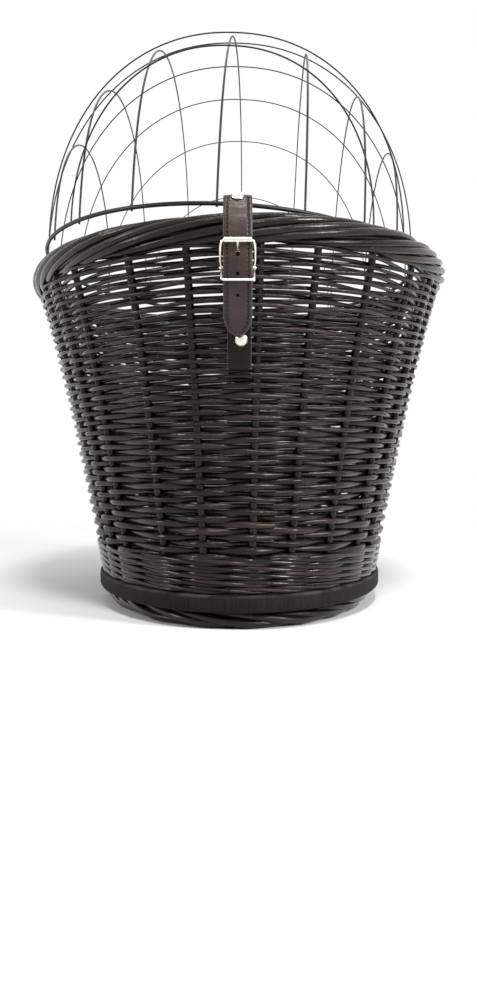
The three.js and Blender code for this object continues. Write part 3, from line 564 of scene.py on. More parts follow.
class NodesModifier:
    """A Geometry Nodes tree with named inputs, and the modifier that runs it on a guide."""

    title = "tree"
    sockets: dict[str, str] = {}

    def __init__(self) -> None:
        """Makes the tree with its sockets, and turns the guide into curves."""
        self.group = bpy.data.node_groups.new(self.title, "GeometryNodeTree")
        self.nodes = Tree(self.group)
        self.names: dict[str, str] = {}
        new_socket = self.group.interface.new_socket
        for way in ("INPUT", "OUTPUT"):
            new_socket("Geometry", in_out=way, socket_type="NodeSocketGeometry")
        for name, kind in self.sockets.items():
            self.names[name] = new_socket(name, in_out="INPUT", socket_type=f"NodeSocket{kind}").identifier
        self.given = self.nodes.add("NodeGroupInput").outputs
        self.curve = self.nodes.add("GeometryNodeMeshToCurve", {0: self.given["Geometry"]}).outputs[0]

    def end(self, geometry: Socket) -> None:
        """Ends the tree: shaded smooth, instances made real, with their material."""
        smooth = self.nodes.add("GeometryNodeSetShadeSmooth", {"Geometry": geometry}).outputs[0]
        real = self.nodes.add("GeometryNodeRealizeInstances", {0: smooth}).outputs[0]
        inputs: Inputs = {"Geometry": real, "Material": self.given["Material"]}
        dressed = self.nodes.add("GeometryNodeSetMaterial", inputs).outputs[0]
        self.nodes.add("NodeGroupOutput", {0: dressed})

    def run(self, piece: Piece, inputs: dict[str, object]) -> Piece:
        """Runs the tree on a guide.

        Args:
            piece: The guide.
            inputs: A value for each named input.

        Returns:
            The finished plain mesh.
        """
        modifier = piece.modifiers.new(self.title, "NODES")
        modifier.node_group = self.group
        for name, value in inputs.items():
            modifier[self.names[name]] = value
        return evaluated(piece)


class SweepTree(NodesModifier):
    """Sweeps a round section along each centre line, thick and thin along its length."""

    title = "rods along lines"
    lump_length = 0.02
    sockets = {
        "Sides": "Int",
        "Unevenness": "Float",
        "Lump length": "Float",
        "Seed": "Float",
        "Material": "Material",
    }

    def __init__(self) -> None:
        """Builds the tree."""
        super().__init__()
        nodes = self.nodes
        given = self.given
        length = nodes.add("GeometryNodeSplineParameter").outputs["Length"]
        along = nodes.add(
            "GeometryNodeStoreNamedAttribute", {"Geometry": self.curve, "Name": "along", "Value": length}
        ).outputs[0]
        thickness = nodes.add("GeometryNodeInputNamedAttribute", {"Name": "thickness"}).outputs[0]
        lumps = nodes.add(
            "ShaderNodeTexNoise",
            {"W": given["Seed"], "Scale": nodes.math("DIVIDE", 1.0, given["Lump length"]), "Detail": 1.0},
            noise_dimensions="4D",
        ).outputs[0]
        swing = nodes.math("MULTIPLY", nodes.math("SUBTRACT", lumps, 0.5), given["Unevenness"])
        radius = nodes.math("MULTIPLY", thickness, nodes.math("ADD", swing, 1.0))
        sized = nodes.add("GeometryNodeSetCurveRadius", {"Curve": along, "Radius": radius}).outputs[0]
        circle = nodes.add("GeometryNodeCurvePrimitiveCircle", {"Resolution": given["Sides"], "Radius": 1.0})
        turn = nodes.add("GeometryNodeSplineParameter").outputs["Factor"]
        section = nodes.add(
            "GeometryNodeStoreNamedAttribute",
            {"Geometry": circle.outputs[0], "Name": "around", "Value": turn},
        ).outputs[0]
        size = nodes.add("GeometryNodeInputRadius").outputs[0]
        swept = nodes.add(
            "GeometryNodeCurveToMesh",
            {"Curve": sized, "Profile Curve": section, "Scale": size, "Fill Caps": True},
        ).outputs[0]
        self.end(swept)

    def sweep(
        self,
        name: str,
        strands: Iterable[Strand],
        material: Material,
        sides: int = ROUND_SIDES,
        unevenness: float = 0.0,
    ) -> Piece:
        """Makes one piece of many rods.

        Args:
            name: The piece's name.
            strands: The rods' centre lines.
            material: The rods' material.
            sides: How many corners the round section has.
            unevenness: How much the radius swings along a rod, as a share of it.

        Returns:
            The piece.
        """
        return self.run(
            guide(name, strands),
            {
                "Sides": sides,
                "Unevenness": unevenness,
                "Lump length": self.lump_length,
                "Seed": float(SEED),
                "Material": material,
            },
        )


class StitchTree(NodesModifier):
    """Sets a stitch at every step along each line, lying along it."""

    title = "stitches along lines"
    sockets = {"Pitch": "Float", "Length": "Float", "Thread": "Float", "Material": "Material"}

    def __init__(self) -> None:
        """Builds the tree."""
        super().__init__()
        nodes = self.nodes
        given = self.given
        steps = nodes.add(
            "GeometryNodeResampleCurve", {"Curve": self.curve, "Length": given["Pitch"]}, mode="LENGTH"
        )
        tangent = nodes.add("GeometryNodeInputTangent").outputs[0]
        turned = nodes.add("FunctionNodeAlignRotationToVector", {"Vector": tangent}, axis="X").outputs[0]
        bead = nodes.add("GeometryNodeMeshUVSphere", {"Segments": 8, "Rings": 6, "Radius": 0.5}).outputs[0]
        size = nodes.add(
            "ShaderNodeCombineXYZ", {0: given["Length"], 1: given["Thread"], 2: given["Thread"]}
        ).outputs[0]
        placed = nodes.add(
            "GeometryNodeInstanceOnPoints",
            {"Points": steps.outputs[0], "Instance": bead, "Rotation": turned, "Scale": size},
        ).outputs[0]
        self.end(placed)


@dataclass
class Kit:
    """The tools and finishes that every sub-assembly shares."""

    sweeps: SweepTree
    stitches: StitchTree
    willow: Material
    board: Material
    wire: Material
    strap: Material
    tab: Material
    thread: Material
    nickel: Material
    zinc: Material


def hand_over(piece: Piece, body: str, slot: Slot, *nodes: str) -> None:
    """Gives a finished piece to the frame and reports it.

    Args:
        piece: The piece.
        body: The name of the body that it rides on.
        slot: Not used.
        nodes: The CAD nodes that it stands for.
    """
    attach(piece, body)
    if nodes:
        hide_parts(*nodes)
    log.info("%s: %d faces, rides on %s", piece.name, len(piece.data.polygons), body)


def dress(
    piece: Piece,
    material: Material,
    body: str,
    slot: Slot,
    node: str,
    degrees: float = SMOOTH_BELOW,
) -> None:
    """Shades and coats a hard piece, then hands it over.

    Args:
        piece: The piece.
        material: Its material.
        body: The name of the body that it rides on.
        slot: Not used; it is only passed on to hand_over.
        node: The CAD node that it stands for.
        degrees: The angle from which an edge stays sharp.
    """
    sharp_corners(piece, degrees)
    coat(piece, material)
    hand_over(piece, body, slot, node)


def middle(node: str) -> Vector:
    """Gives the middle of a CAD node's box."""
    low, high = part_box(node)
    return (low + high) / 2


def underside(node: str) -> Vector:
    """Gives the middle of the underside of a CAD node's box."""
    low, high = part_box(node)
    return Vector(((low.x + high.x) / 2, (low.y + high.y) / 2, low.z))


def drilled(piece: Piece, node: str, screws: Iterable[str], radius: float) -> Piece:
    """Drills a hole right through a piece for each of some clamp screws.

    Args:
        piece: The piece.
        node: The CAD node that it stands for.
        screws: Which screws pass through it.
        radius: The holes' radius.

    Returns:
        The drilled piece.
    """
    low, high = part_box(node)
    work = bmesh.new()
    for screw in screws:
        place = middle(f"{screw}_clamp_screw")
        place.z = middle(node).z
        drill_hole(work, Matrix.Translation(place), radius, 4 * (high.z - low.z))
    return cut(piece, from_bmesh(f"{node}_holes", work))


def joint(name: str) -> dict[str, object]:
    """Finds a joint of the frame."""
    return next(found for found in frame["joints"] if found["name"] == name)


def joint_place(name: str) -> Vector:
    """Gives the point that a joint turns about."""
    return Vector(joint(name)["pos_m"])


def joint_axis(name: str) -> Vector:
    """Gives the direction of a joint's axis."""
    return Vector(joint(name)["axis"])


# The oval plan and the wall's slope


@dataclass(frozen=True)
class Oval:
    """An oval plan with its middle on the YZ plane. Angles run from the strap's end towards +X."""

    half_x: Array | float
    half_y: Array | float
    centre_y: float

    def point(self, angle: Array, outward: Array | float, height: Array | float) -> Array:
        """Gives points of the oval, moved outwards and up.

        Args:
            angle: The angles in radians.
            outward: How far outside the oval they lie.
            height: Their heights.

        Returns:
            The points, one a row.
        """
        x = (self.half_x + outward) * np.sin(angle)
        y = self.centre_y - (self.half_y + outward) * np.cos(angle)
        return np.stack(np.broadcast_arrays(x, y, height), axis=-1)

    def lengths(self, steps: int = 2000) -> tuple[Array, Array]:
        """Gives angles round the oval and the length of its edge up to each."""
        angles = np.linspace(0.0, 2 * math.pi, steps + 1)
        points = self.point(angles, 0.0, 0.0)
        runs = np.linalg.norm(np.diff(points, axis=0), axis=1)
        return angles, np.concatenate([[0.0], np.cumsum(runs)])

    def girth(self) -> float:
        """Gives the length of the oval's edge."""
        return float(self.lengths()[1][-1])

    def angle_at(self, length: Array) -> Array:
        """Gives the angle at a length along the edge from the strap's end, more than one round too."""
        angles, lengths = self.lengths()
        rounds = np.floor(np.asarray(length) / lengths[-1])
        return np.interp(length - rounds * lengths[-1], lengths, angles) + 2 * math.pi * rounds


@dataclass(frozen=True)
class WallShape:
    """The outer face of the woven wall, which leans out and curls over near its top."""

    centre_y: float
    bottom: float
    top: float
    base_half: Pair = (0.118, 0.217)
    mouth_half: Pair = (0.170, 0.270)
    curl: float = 0.12
    curl_power: float = 4.0

    def rise(self, height: Array | float) -> Array | float:
        """Gives how far up the wall a height is, from 0 at its bottom to 1 at its top."""
        return (height - self.bottom) / (self.top - self.bottom)

    def half(self, height: Array | float) -> tuple[Array, Array]:
        """Gives the half axes of the outer face at a height."""
        rise = np.clip(self.rise(np.asarray(height)), 0.0, 1.0)
        share = (1 - self.curl) * rise + self.curl * rise**self.curl_power
        return (
            self.base_half[0] + (self.mouth_half[0] - self.base_half[0]) * share,
            self.base_half[1] + (self.mouth_half[1] - self.base_half[1]) * share,
        )

    def point(self, angle: Array, outward: Array | float, height: Array | float) -> Array:
        """Gives points at a distance outside the outer face."""
        return Oval(*self.half(height), self.centre_y).point(angle, outward, height)

    def face(self, height: float, across: float, side: Side) -> float:
        """Gives the outer face's y at a height and a distance across."""
        half_x, half_y = self.half(height)
        return self.centre_y + side.value * float(half_y) * math.sqrt(1 - (across / float(half_x)) ** 2)


# Willow


@dataclass
class WovenWall:
    """Stakes with thin rods woven in and out of them, over a band of waling.

    The stakes that the photograph shows keep their places, and the rest share out the way that is left.
    """

    shape: WallShape
    seen_stakes: tuple[float, ...] = (-66.0, -55.5, -45.3, -26.6, -12.1, 4.3, 17.7, 32.3, 48.6)
    stake_count: int = 28
    stake_radius: float = 0.0029
    low_pitch: float = 0.0050
    high_pitch: float = 0.00275
    pitch_power: float = 1.3
    cover: Triple = (1.06, 0.99, 1.03)
    cover_rise: Triple = (0.45, 0.78, 1.0)
    squeeze: float = 0.0011
    spread: float = 0.10
    bend_sharpness: float = 0.94
    wobble: float = 0.0004
    wobble_waves: tuple[int, int] = (3, 15)
    tilt: float = 0.018
    taper: Pair = (1.07, 0.93)
    stake_taper: Pair = (1.04, 0.92)
    stake_lean: float = 0.006
    stake_tint: float = 0.5
    rods_in_row: int = 2
    rod_lap: float = 0.4
    steps_in_bay: int = 8
    wale_rods: int = 3
    wale_rounds: int = 5
    wale_radius: float = 0.0015
    wale_lift: float = 0.0014
    wale_step: float = 1.5
    wale_start: float = 0.6
    wale_spare: float = 0.3
    above_wall: float = 0.006
    thick_sides: int = 10
    thin_sides: int = 8
    stake_lumps: float = 0.25
    wale_lumps: float = 0.30
    row_lumps: float = 0.35
    chance: np.random.Generator = field(default_factory=lambda: np.random.default_rng(SEED))

    def __post_init__(self) -> None:
        """Works out the stakes' angles."""
        self.stakes = self.stake_angles()

    def stake_angles(self) -> Array:
        """Gives the angle of every stake in radians, from the first seen one onwards."""
        half_x, half_y = self.shape.half((self.shape.bottom + self.shape.top) / 2)
        oval = Oval(float(half_x), float(half_y), 0.0)
        seen = np.radians(self.seen_stakes)
        angles, lengths = oval.lengths()
        start = np.interp(seen[-1], angles, lengths)
        end = np.interp(2 * math.pi + seen[0], angles, lengths)
        others = np.linspace(start, end, self.stake_count - len(seen) + 2)[1:-1]
        return np.concatenate([seen, np.interp(others, lengths, angles)])

    def angle_at(self, place: Array) -> Array:
        """Gives the angle at a place counted in stakes, more than one round too."""
        count = len(self.stakes)
        rounds = np.arange(-1, self.wale_rounds + 2)
        numbers = (np.arange(count)[None, :] + rounds[:, None] * count).ravel()
        angles = (self.stakes[None, :] + rounds[:, None] * 2 * math.pi).ravel()
        return np.interp(place, numbers, angles)

    def pitch(self, height: float) -> float:
        """Gives the height of one row of weaving."""
        left = max(0.0, 1 - self.shape.rise(height))
        return self.high_pitch + (self.low_pitch - self.high_pitch) * left**self.pitch_power

    def radius(self, height: float) -> float:
        """Gives the radius of the rods at a height."""
        cover = float(np.interp(self.shape.rise(height), self.cover_rise, self.cover))
        return cover * self.pitch(height) / 2

    def depth(self, radius: Array | float) -> Array | float:
        """Gives how far inside the outer face the stakes stand where the rods have a radius."""
        return self.stake_radius + 2 * radius - self.squeeze

    def wobbling(self, angle: Array) -> Array:
        """Gives one row's own unevenness in height, a smooth curve that closes on itself."""
        waves = np.arange(*self.wobble_waves)
        sizes = self.chance.normal(0.0, 1.0, waves.size) / math.sqrt(waves.size)
        shifts = self.chance.uniform(0.0, 2 * math.pi, waves.size)
        return self.wobble * (sizes * np.sin(angle[..., None] * waves + shifts)).sum(axis=-1) * math.sqrt(2)

    def tint(self) -> float:
        """Gives one rod's shade by chance; a few rods are reddish."""
        return float(self.chance.uniform(0.0, 1.0))

    def tilted(self, points: Array) -> Array:
        """Raises the weaving towards +X, more the higher it is, because the rim isn't quite level."""
        rise = np.clip(self.shape.rise(points[:, 2]), 0.0, 1.0)
        points[:, 2] += self.tilt * rise * points[:, 0]
        return points

    def row(self, number: int, height: float) -> list[Strand]:
        """Weaves one row of rods, in front of every other stake.

        Args:
            number: The row's number, whose parity says which stakes the rods pass in front of.
            height: The row's height.

        Returns:
            The row's rods.
        """
        radius = self.radius(height)
        reach = self.stake_radius + radius - self.squeeze
        count = len(self.stakes)
        span = count // self.rods_in_row
        first = int(self.chance.integers(count))
        first += (first + number + 1) % 2
        rods = []
        around = self.stakes[0] + np.linspace(0.0, 2 * math.pi, count * self.steps_in_bay + 1)
        heights = self.wobbling(around)
        for part in range(self.rods_in_row):
            start = first + part * span
            steps = int((span + 2 * self.rod_lap) * self.steps_in_bay)
            place = start - self.rod_lap + np.arange(steps + 1) / self.steps_in_bay
            angle = self.angle_at(place)
            swing = np.arcsin(self.bend_sharpness * np.cos(math.pi * (place + number)))
            swing = reach * swing / math.asin(self.bend_sharpness)
            taper = np.linspace(*self.taper, steps + 1)
            ends = np.minimum(np.arange(steps + 1), 2) / 2
            lap = (1 - ends) * radius
            lift = np.interp((angle - self.stakes[0]) % (2 * math.pi), around - self.stakes[0], heights)
            points = self.shape.point(angle, swing - self.depth(radius) - lap, height + lift)
            size = radius * (1 + self.chance.uniform(-self.spread, self.spread))
            rods.append(Strand(self.tilted(points), size * taper, self.tint()))
        return rods

    def rows(self, bottom: float, top: float) -> tuple[list[Strand], list[Strand]]:
        """Weaves every row above the waling.

        Args:
            bottom: The height where the weaving starts.
            top: The height that the close weave reaches.

        Returns:
            The rods of the close weave, and those of the open weave.
        """
        close: list[Strand] = []
        open_: list[Strand] = []
        height = bottom + self.pitch(bottom) / 2
        number = 0
        while height < self.shape.top + MM:
            (close if height < top else open_).extend(self.row(number, height))
            height += self.pitch(height)
            number += 1
        return close, open_

    def waling(self, bottom: float, top: float) -> list[Strand]:
        """Twines the waling's rods, each in front of two stakes and behind the next.

        Args:
            bottom: The band's lower edge.
            top: The band's upper edge.

        Returns:
            The rods, each more than one round long.
        """
        count = len(self.stakes)
        pitch = (top - bottom) / (self.wale_rounds - self.wale_spare)
        radius = self.wale_radius
        reach = self.stake_radius + radius - self.squeeze
        start = int(np.argmin(np.abs(self.stakes - math.pi)))
        place = start + np.arange(count * self.wale_rounds * self.steps_in_bay + 1) / self.steps_in_bay
        rounds = (place - start) / count
        stepped = np.clip((rounds % 1 - 1) * count / self.wale_step + 1, 0.0, 1.0)
        level = np.minimum(np.floor(rounds) + stepped, self.wale_rounds - 1)
        rods = []
        for rod in range(self.wale_rods):
            stroke = (place - rod) % self.wale_rods
            near = np.minimum(stroke, self.wale_rods - stroke)
            swing = reach * np.where(near < 1, -np.cos(math.pi * np.minimum(near, 1.0)), 1.0)
            slant = self.wale_lift * np.sin(2 * math.pi * stroke / self.wale_rods)
            height = bottom + pitch * (self.wale_start + level) + slant
            points = self.shape.point(self.angle_at(place), swing - self.depth(radius), height)
            thick = radius * (1 + self.chance.uniform(-self.spread, self.spread))
            rods.append(Strand(points, np.full(len(points), thick), self.tint()))
        return rods

    def standing(self, bottom: float, top: float, steps: int = 60) -> list[Strand]:
        """Stands the stakes up from the board into the border.

        Args:
            bottom: Where they leave the board.
            top: Where they end, inside the border.
            steps: How many steps each has.

        Returns:
            The stakes.
        """
        heights = np.linspace(bottom, top, steps + 1)
        depth = np.array([self.depth(self.radius(height)) for height in heights])
        rods = []
        for angle in self.stakes:
            lean = self.chance.normal(0.0, self.stake_lean)
            angles = angle + lean * (heights - bottom) / (top - bottom)
            points = self.shape.point(angles, -depth, heights)
            radii = self.stake_radius * np.linspace(*self.stake_taper, steps + 1)
            rods.append(Strand(points, radii, self.tint() * self.stake_tint))
        return rods

    def build(self, kit: Kit) -> None:
        """Makes the stakes, the waling and both stretches of weaving."""
        wale_low, wale_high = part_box("wale_band")
        close_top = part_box("close_weave_wall")[1].z
        stakes = self.standing(wale_low.z, self.shape.top + self.above_wall)
        waling = self.waling(wale_low.z, wale_high.z)
        close, open_ = self.rows(wale_high.z, close_top)
        for name, rods, sides, unevenness, nodes in (
            ("stakes", stakes, self.thick_sides, self.stake_lumps, ()),
            ("waling", waling, self.thick_sides, self.wale_lumps, ("wale_band",)),
            ("close_weave", close, self.thin_sides, self.row_lumps, ("close_weave_wall",)),
            ("open_weave", open_, self.thin_sides, self.row_lumps, ("open_weave_wall",)),
        ):
            piece = kit.sweeps.sweep(name, rods, kit.willow, sides, unevenness)
            hand_over(piece, Body.BASKET.value, Slot.WILLOW, *nodes)


@dataclass(frozen=True)
class Winding:
    """How a border's rods wind round its ring, from one turn to another in degrees from outside."""

    rods: int
    rod_radius: float
    turn_length: float
    start_turn: float
    end_turn: float
    core_radius: float = 0.0
    looseness: float = 0.0003
    slip: float = 5.0
    unevenness: float = 0.25
    jitter: float = 0.18
    tuck: Pair = (0.45, 4.0)
    thickness: Pair = (0.90, 1.02)
    taper: Pair = (1.05, 0.85)
    above_floor: float = 1.2


@dataclass
class RolledBorder:
    """A border of rods that wind round a ring like the strands of a rope."""

    name: str
    node: str
    winding: Winding
    width: float
    tilt: float = 0.0
    steps: int = 44
    seed: int = SEED

    def __post_init__(self) -> None:
        """Reads the ring's size from the CAD model."""
        low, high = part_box(self.node)
        centre = (low + high) / 2
        half = self.width / 2
        self.ring = Oval(high.x - half, (high.y - low.y) / 2 - half, centre.y)
        self.height = centre.z
        self.radius_out = half - self.winding.rod_radius
        self.radius_up = (high.z - low.z) / 2 - self.winding.rod_radius

    def strands(self) -> list[Strand]:
        """Lays the rods, each a stretch of helix with its ends tucked in."""
        chance = np.random.default_rng(self.seed)
        winding = self.winding
        girth = self.ring.girth()
        sweep = winding.end_turn - winding.start_turn
        length = winding.turn_length * abs(sweep) / 360.0
        share = np.linspace(0.0, 1.0, self.steps + 1)
        tuck = np.minimum(1.0, winding.tuck[0] + winding.tuck[1] * np.minimum(share, 1 - share))
        taper = np.linspace(*winding.taper, self.steps + 1)
        rods = []
        for number in range(winding.rods):
            start = girth * (number + chance.uniform(-winding.jitter, winding.jitter)) / winding.rods
            angle = self.ring.angle_at(start + length * share)
            turn = np.radians(winding.start_turn + sweep * share + chance.normal(0.0, winding.slip))
            loose = chance.normal(0.0, winding.looseness)
            outward = (self.radius_out * tuck + loose) * np.cos(turn)
            up = (self.radius_up * tuck + loose) * np.sin(turn)
            points = self.ring.point(angle, outward, self.height + up)
            points[:, 2] += self.tilt * points[:, 0]
            points[:, 2] = np.maximum(points[:, 2], winding.above_floor * winding.rod_radius)
            thick = winding.rod_radius * chance.uniform(*winding.thickness)
            rods.append(Strand(points, thick * taper, chance.uniform(0.0, 1.0)))
        return rods

    def core(self, steps: int = 240) -> list[Strand]:
        """Lays the hidden rod inside the border, where it has one."""
        if self.winding.core_radius == 0:
            return []
        angle = np.linspace(0.0, 2 * math.pi, steps + 1)[:-1]
        points = self.ring.point(angle, 0.0, self.height)
        points[:, 2] += self.tilt * points[:, 0]
        return [Strand(points, np.full(steps, self.winding.core_radius), 0.0, closed=True)]

    def build(self, kit: Kit) -> None:
        """Makes the border as one piece."""
        rods = self.strands() + self.core()
        piece = kit.sweeps.sweep(self.name, rods, kit.willow, unevenness=self.winding.unevenness)
        hand_over(piece, Body.BASKET.value, Slot.WILLOW, self.node)


RIM_WIDTH = 0.022
RIM_TILT = 0.018
RIM_WINDING = Winding(
    rods=32, rod_radius=0.0029, turn_length=0.380, start_turn=-115.0, end_turn=200.0, core_radius=0.0065
)
FOOT_WIDTH = 0.014
FOOT_WINDING = Winding(
    rods=25, rod_radius=0.0031, turn_length=0.160, start_turn=170.0, end_turn=-150.0, looseness=0.0010
)


# Board


@dataclass
class BaseBoard:
    """An oval plywood board with eased edges and four screw holes."""

    edge: float = 0.0020
    hole_radius: float = 0.0033
    segments: int = 192

    def build(self, kit: Kit) -> None:
        """Makes the board as one piece."""
        low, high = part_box("base_board")
        oval = Oval((high.x - low.x) / 2, (high.y - low.y) / 2, middle("base_board").y)
        angles = np.linspace(0.0, 2 * math.pi, self.segments + 1)[:-1]
        curve = np.linspace(0.0, math.pi / 2, 4)
        inset = self.edge * (1 - np.sin(curve))
        rise = self.edge * (1 - np.cos(curve))
        levels = [*zip(-inset, low.z + rise), *zip(-inset[::-1], high.z - rise[::-1])]
        board = skin("board", [oval.point(angles, outward, height).tolist() for outward, height in levels])
        board = drilled(board, "base_board", SCREWS, self.hole_radius)
        dress(board, kit.board, Body.BASKET.value, Slot.BOARD, "base_board")


# Grille


@dataclass(frozen=True)
class Dome:
    """A dome over an oval loop, whose cross sections are a little fuller than an ellipse."""

    x: float
    y: float
    z: float
    power: float = 2.15

    def share(self, along: Array | float) -> Array | float:
        """Gives the size of the dome's cross section at a place along it, as a share of the middle one."""
        return np.sqrt(np.maximum(0.0, 1 - np.square(along / self.y)))

    def sum(self, first: float, second: float) -> float:
        """Adds two shares as the dome's sections do, and takes away where the second is negative."""
        change = math.copysign(abs(second) ** self.power, second)
        return max(0.0, first**self.power + change) ** (1 / self.power)

    def rise(self, across: Array | float, along: Array | float) -> Array:
        """Gives the dome's height over a place in its loop."""
        left = self.share(along) ** self.power - np.abs(across / self.x) ** self.power
        return self.z * np.maximum(0.0, left) ** (1 / self.power)


@dataclass
class Grille:
    """A dome of wires over an oval loop, turned a little about its hinge as in the photograph."""

    hinge: Vector
    half_x: float = 0.155
    half_y: float = 0.263
    height: float = 0.187
    hinge_offset: float = 0.025
    yaw: float = math.radians(-1.6)
    roll: float = math.radians(2.0)
    loop_radius: float = 0.0015
    rib_radius: float = 0.001
    hoop_radii: Pair = (0.00065, 0.0004)
    long_radii: Pair = (0.0008, 0.00045)
    hoops: int = 7
    hoop_shift: float = 0.007
    long_offsets: tuple[float, ...] = (0.0, 0.057, 0.100, 0.130)
    gap: float = 0.0003
    stub: float = 0.0015
    steps: int = 96

    def hinge_distance(self) -> float:
        """Gives the distance from the loop's middle to the hinge line."""
        return self.half_y * math.sqrt(1 - (self.hinge_offset / self.half_x) ** 2)

    def placed(self, across: Array, along: Array, up: Array) -> Array:
        """Moves points from the grille's own frame to the basket's."""
        turn = Matrix.Rotation(self.roll, 3, "Y") @ Matrix.Rotation(self.yaw, 3, "Z")
        local = np.stack(np.broadcast_arrays(across, along - self.hinge_distance(), up), axis=-1)
        return local @ np.array(turn).T + np.array(self.hinge)

    def swing(self, span: float, end: float, way: int) -> tuple[Array, Array]:
        """Gives the places along a wire's half span, and whether each is over the loop or below it.

        Args:
            span: Half the wire's span.
            end: Where on it the wire ends.
            way: 1 for a wire that runs on below the loop, -1 for one that stops short of it.

        Returns:
            The places, and 1 or -1 for each.
        """
        overrun = way * math.acos(end / span)
        angle = np.linspace(-overrun, math.pi + overrun, self.steps + 1)
        return -span * np.cos(angle), np.sign(np.sin(angle))

    def wire(
        self, across: Array | float, along: Array | float, up: Array, radii: Pair
    ) -> Strand:
        """Lays a wire, a little thinner towards the hinges."""
        share = np.broadcast_to(along, up.shape) / (2 * self.half_y) + 0.5
        return Strand(self.placed(across, along, up), radii[0] + (radii[1] - radii[0]) * share)

    def loop(self) -> Strand:
        """Lays the loop's wire."""
        angle = np.linspace(0.0, 2 * math.pi, 2 * self.steps + 1)[:-1]
        points = self.placed(self.half_x * np.sin(angle), -self.half_y * np.cos(angle), 0.0)
        return Strand(points, np.full(len(points), self.loop_radius), closed=True)

    def hoop(self, along: float) -> Strand:
        """Lays a hoop across the dome."""
        dome = Dome(self.half_x, self.half_y, self.height)
        share = float(dome.share(along))
        end = dome.sum(share, -(self.loop_radius + self.gap) / dome.z)
        across, side = self.swing(dome.x * share, dome.x * end, -1)
        return self.wire(across, along, side * dome.rise(across, along), self.hoop_radii)

    def long_wire(self, across: float) -> Strand:
        """Lays a wire along the dome, inside the hoops and the loop."""
        inset = self.loop_radius + self.rib_radius + self.gap
        dome = Dome(self.half_x - inset, self.half_y - inset, self.height - inset)
        share = abs(across) / dome.x
        end = dome.sum(share, self.stub / dome.z)
        along, side = self.swing(dome.y * math.sqrt(1 - share**2), dome.y * math.sqrt(1 - end**2), 1)
        return self.wire(across, along, side * dome.rise(across, along), self.long_radii)

    def build(self, kit: Kit) -> None:
        """Makes each wire as a piece of its own."""
        pitch = 2 * self.half_y / (self.hoops + 1)
        wires = {"grille_base_loop": self.loop()}
        for i in range(self.hoops):
            wires[f"grille_hoop_{i + 1}"] = self.hoop(self.hoop_shift + pitch * (i - (self.hoops - 1) / 2))
        wires["grille_long_wire_centre"] = self.long_wire(0.0)
        for i, offset in enumerate(self.long_offsets[1:], start=1):
            wires[f"grille_long_wire_left_{i}"] = self.long_wire(-offset)
            wires[f"grille_long_wire_right_{i}"] = self.long_wire(offset)
        for node, strand in wires.items():
            piece = kit.sweeps.sweep(f"smooth_{node}", [strand], kit.wire)
            hand_over(piece, Body.GRILLE.value, Slot.WIRE, node)


# Leather


def smooth_line(corners: Sequence[tuple[float, ...]]) -> Array:
    """Runs a smooth curve through corners.

    Args:
        corners: The places that it passes.

    Returns:
        The curve's points, one a row.
    """
    knots = np.array([corners[0], *corners, corners[-1]], float)
    knots[0] = 2 * knots[1] - knots[2]
    knots[-1] = 2 * knots[-2] - knots[-3]
    pieces = []
    for before, here, there, after in zip(knots, knots[1:], knots[2:], knots[3:]):
        t = np.linspace(0.0, 1.0, 40, endpoint=False)[:, None]
        pull_here = (there - before) / 2
        pull_there = (after - here) / 2
        pieces.append(
            (2 * t**3 - 3 * t**2 + 1) * here
            + (t**3 - 2 * t**2 + t) * pull_here
            + (3 * t**2 - 2 * t**3) * there
            + (t**3 - t**2) * pull_there
        )
    return np.concatenate([*pieces, knots[-2][None, :]])


def distances(line: Array) -> Array:
    """Gives the distance along a line at each of its points."""
    return np.concatenate([[0.0], np.cumsum(np.linalg.norm(np.diff(line, axis=0), axis=1))])


def equal_steps(line: Array, steps: int) -> Array:
    """Gives the same line with its points at equal distances."""
    runs = distances(line)
    places = np.linspace(0.0, runs[-1], steps + 1)
    return np.stack([np.interp(places, runs, line[:, i]) for i in range(line.shape[1])], axis=-1)


def arc(
    centre: Pair, radius: float, start: float, end: float, steps: int = 24
) -> list[Pair]:
    """Gives points of an arc in the YZ plane, with angles in degrees from +Y towards +Z."""
    angles = np.radians(np.linspace(start, end, steps + 1))
    return [(centre[0] + radius * math.cos(a), centre[1] + radius * math.sin(a)) for a in angles]


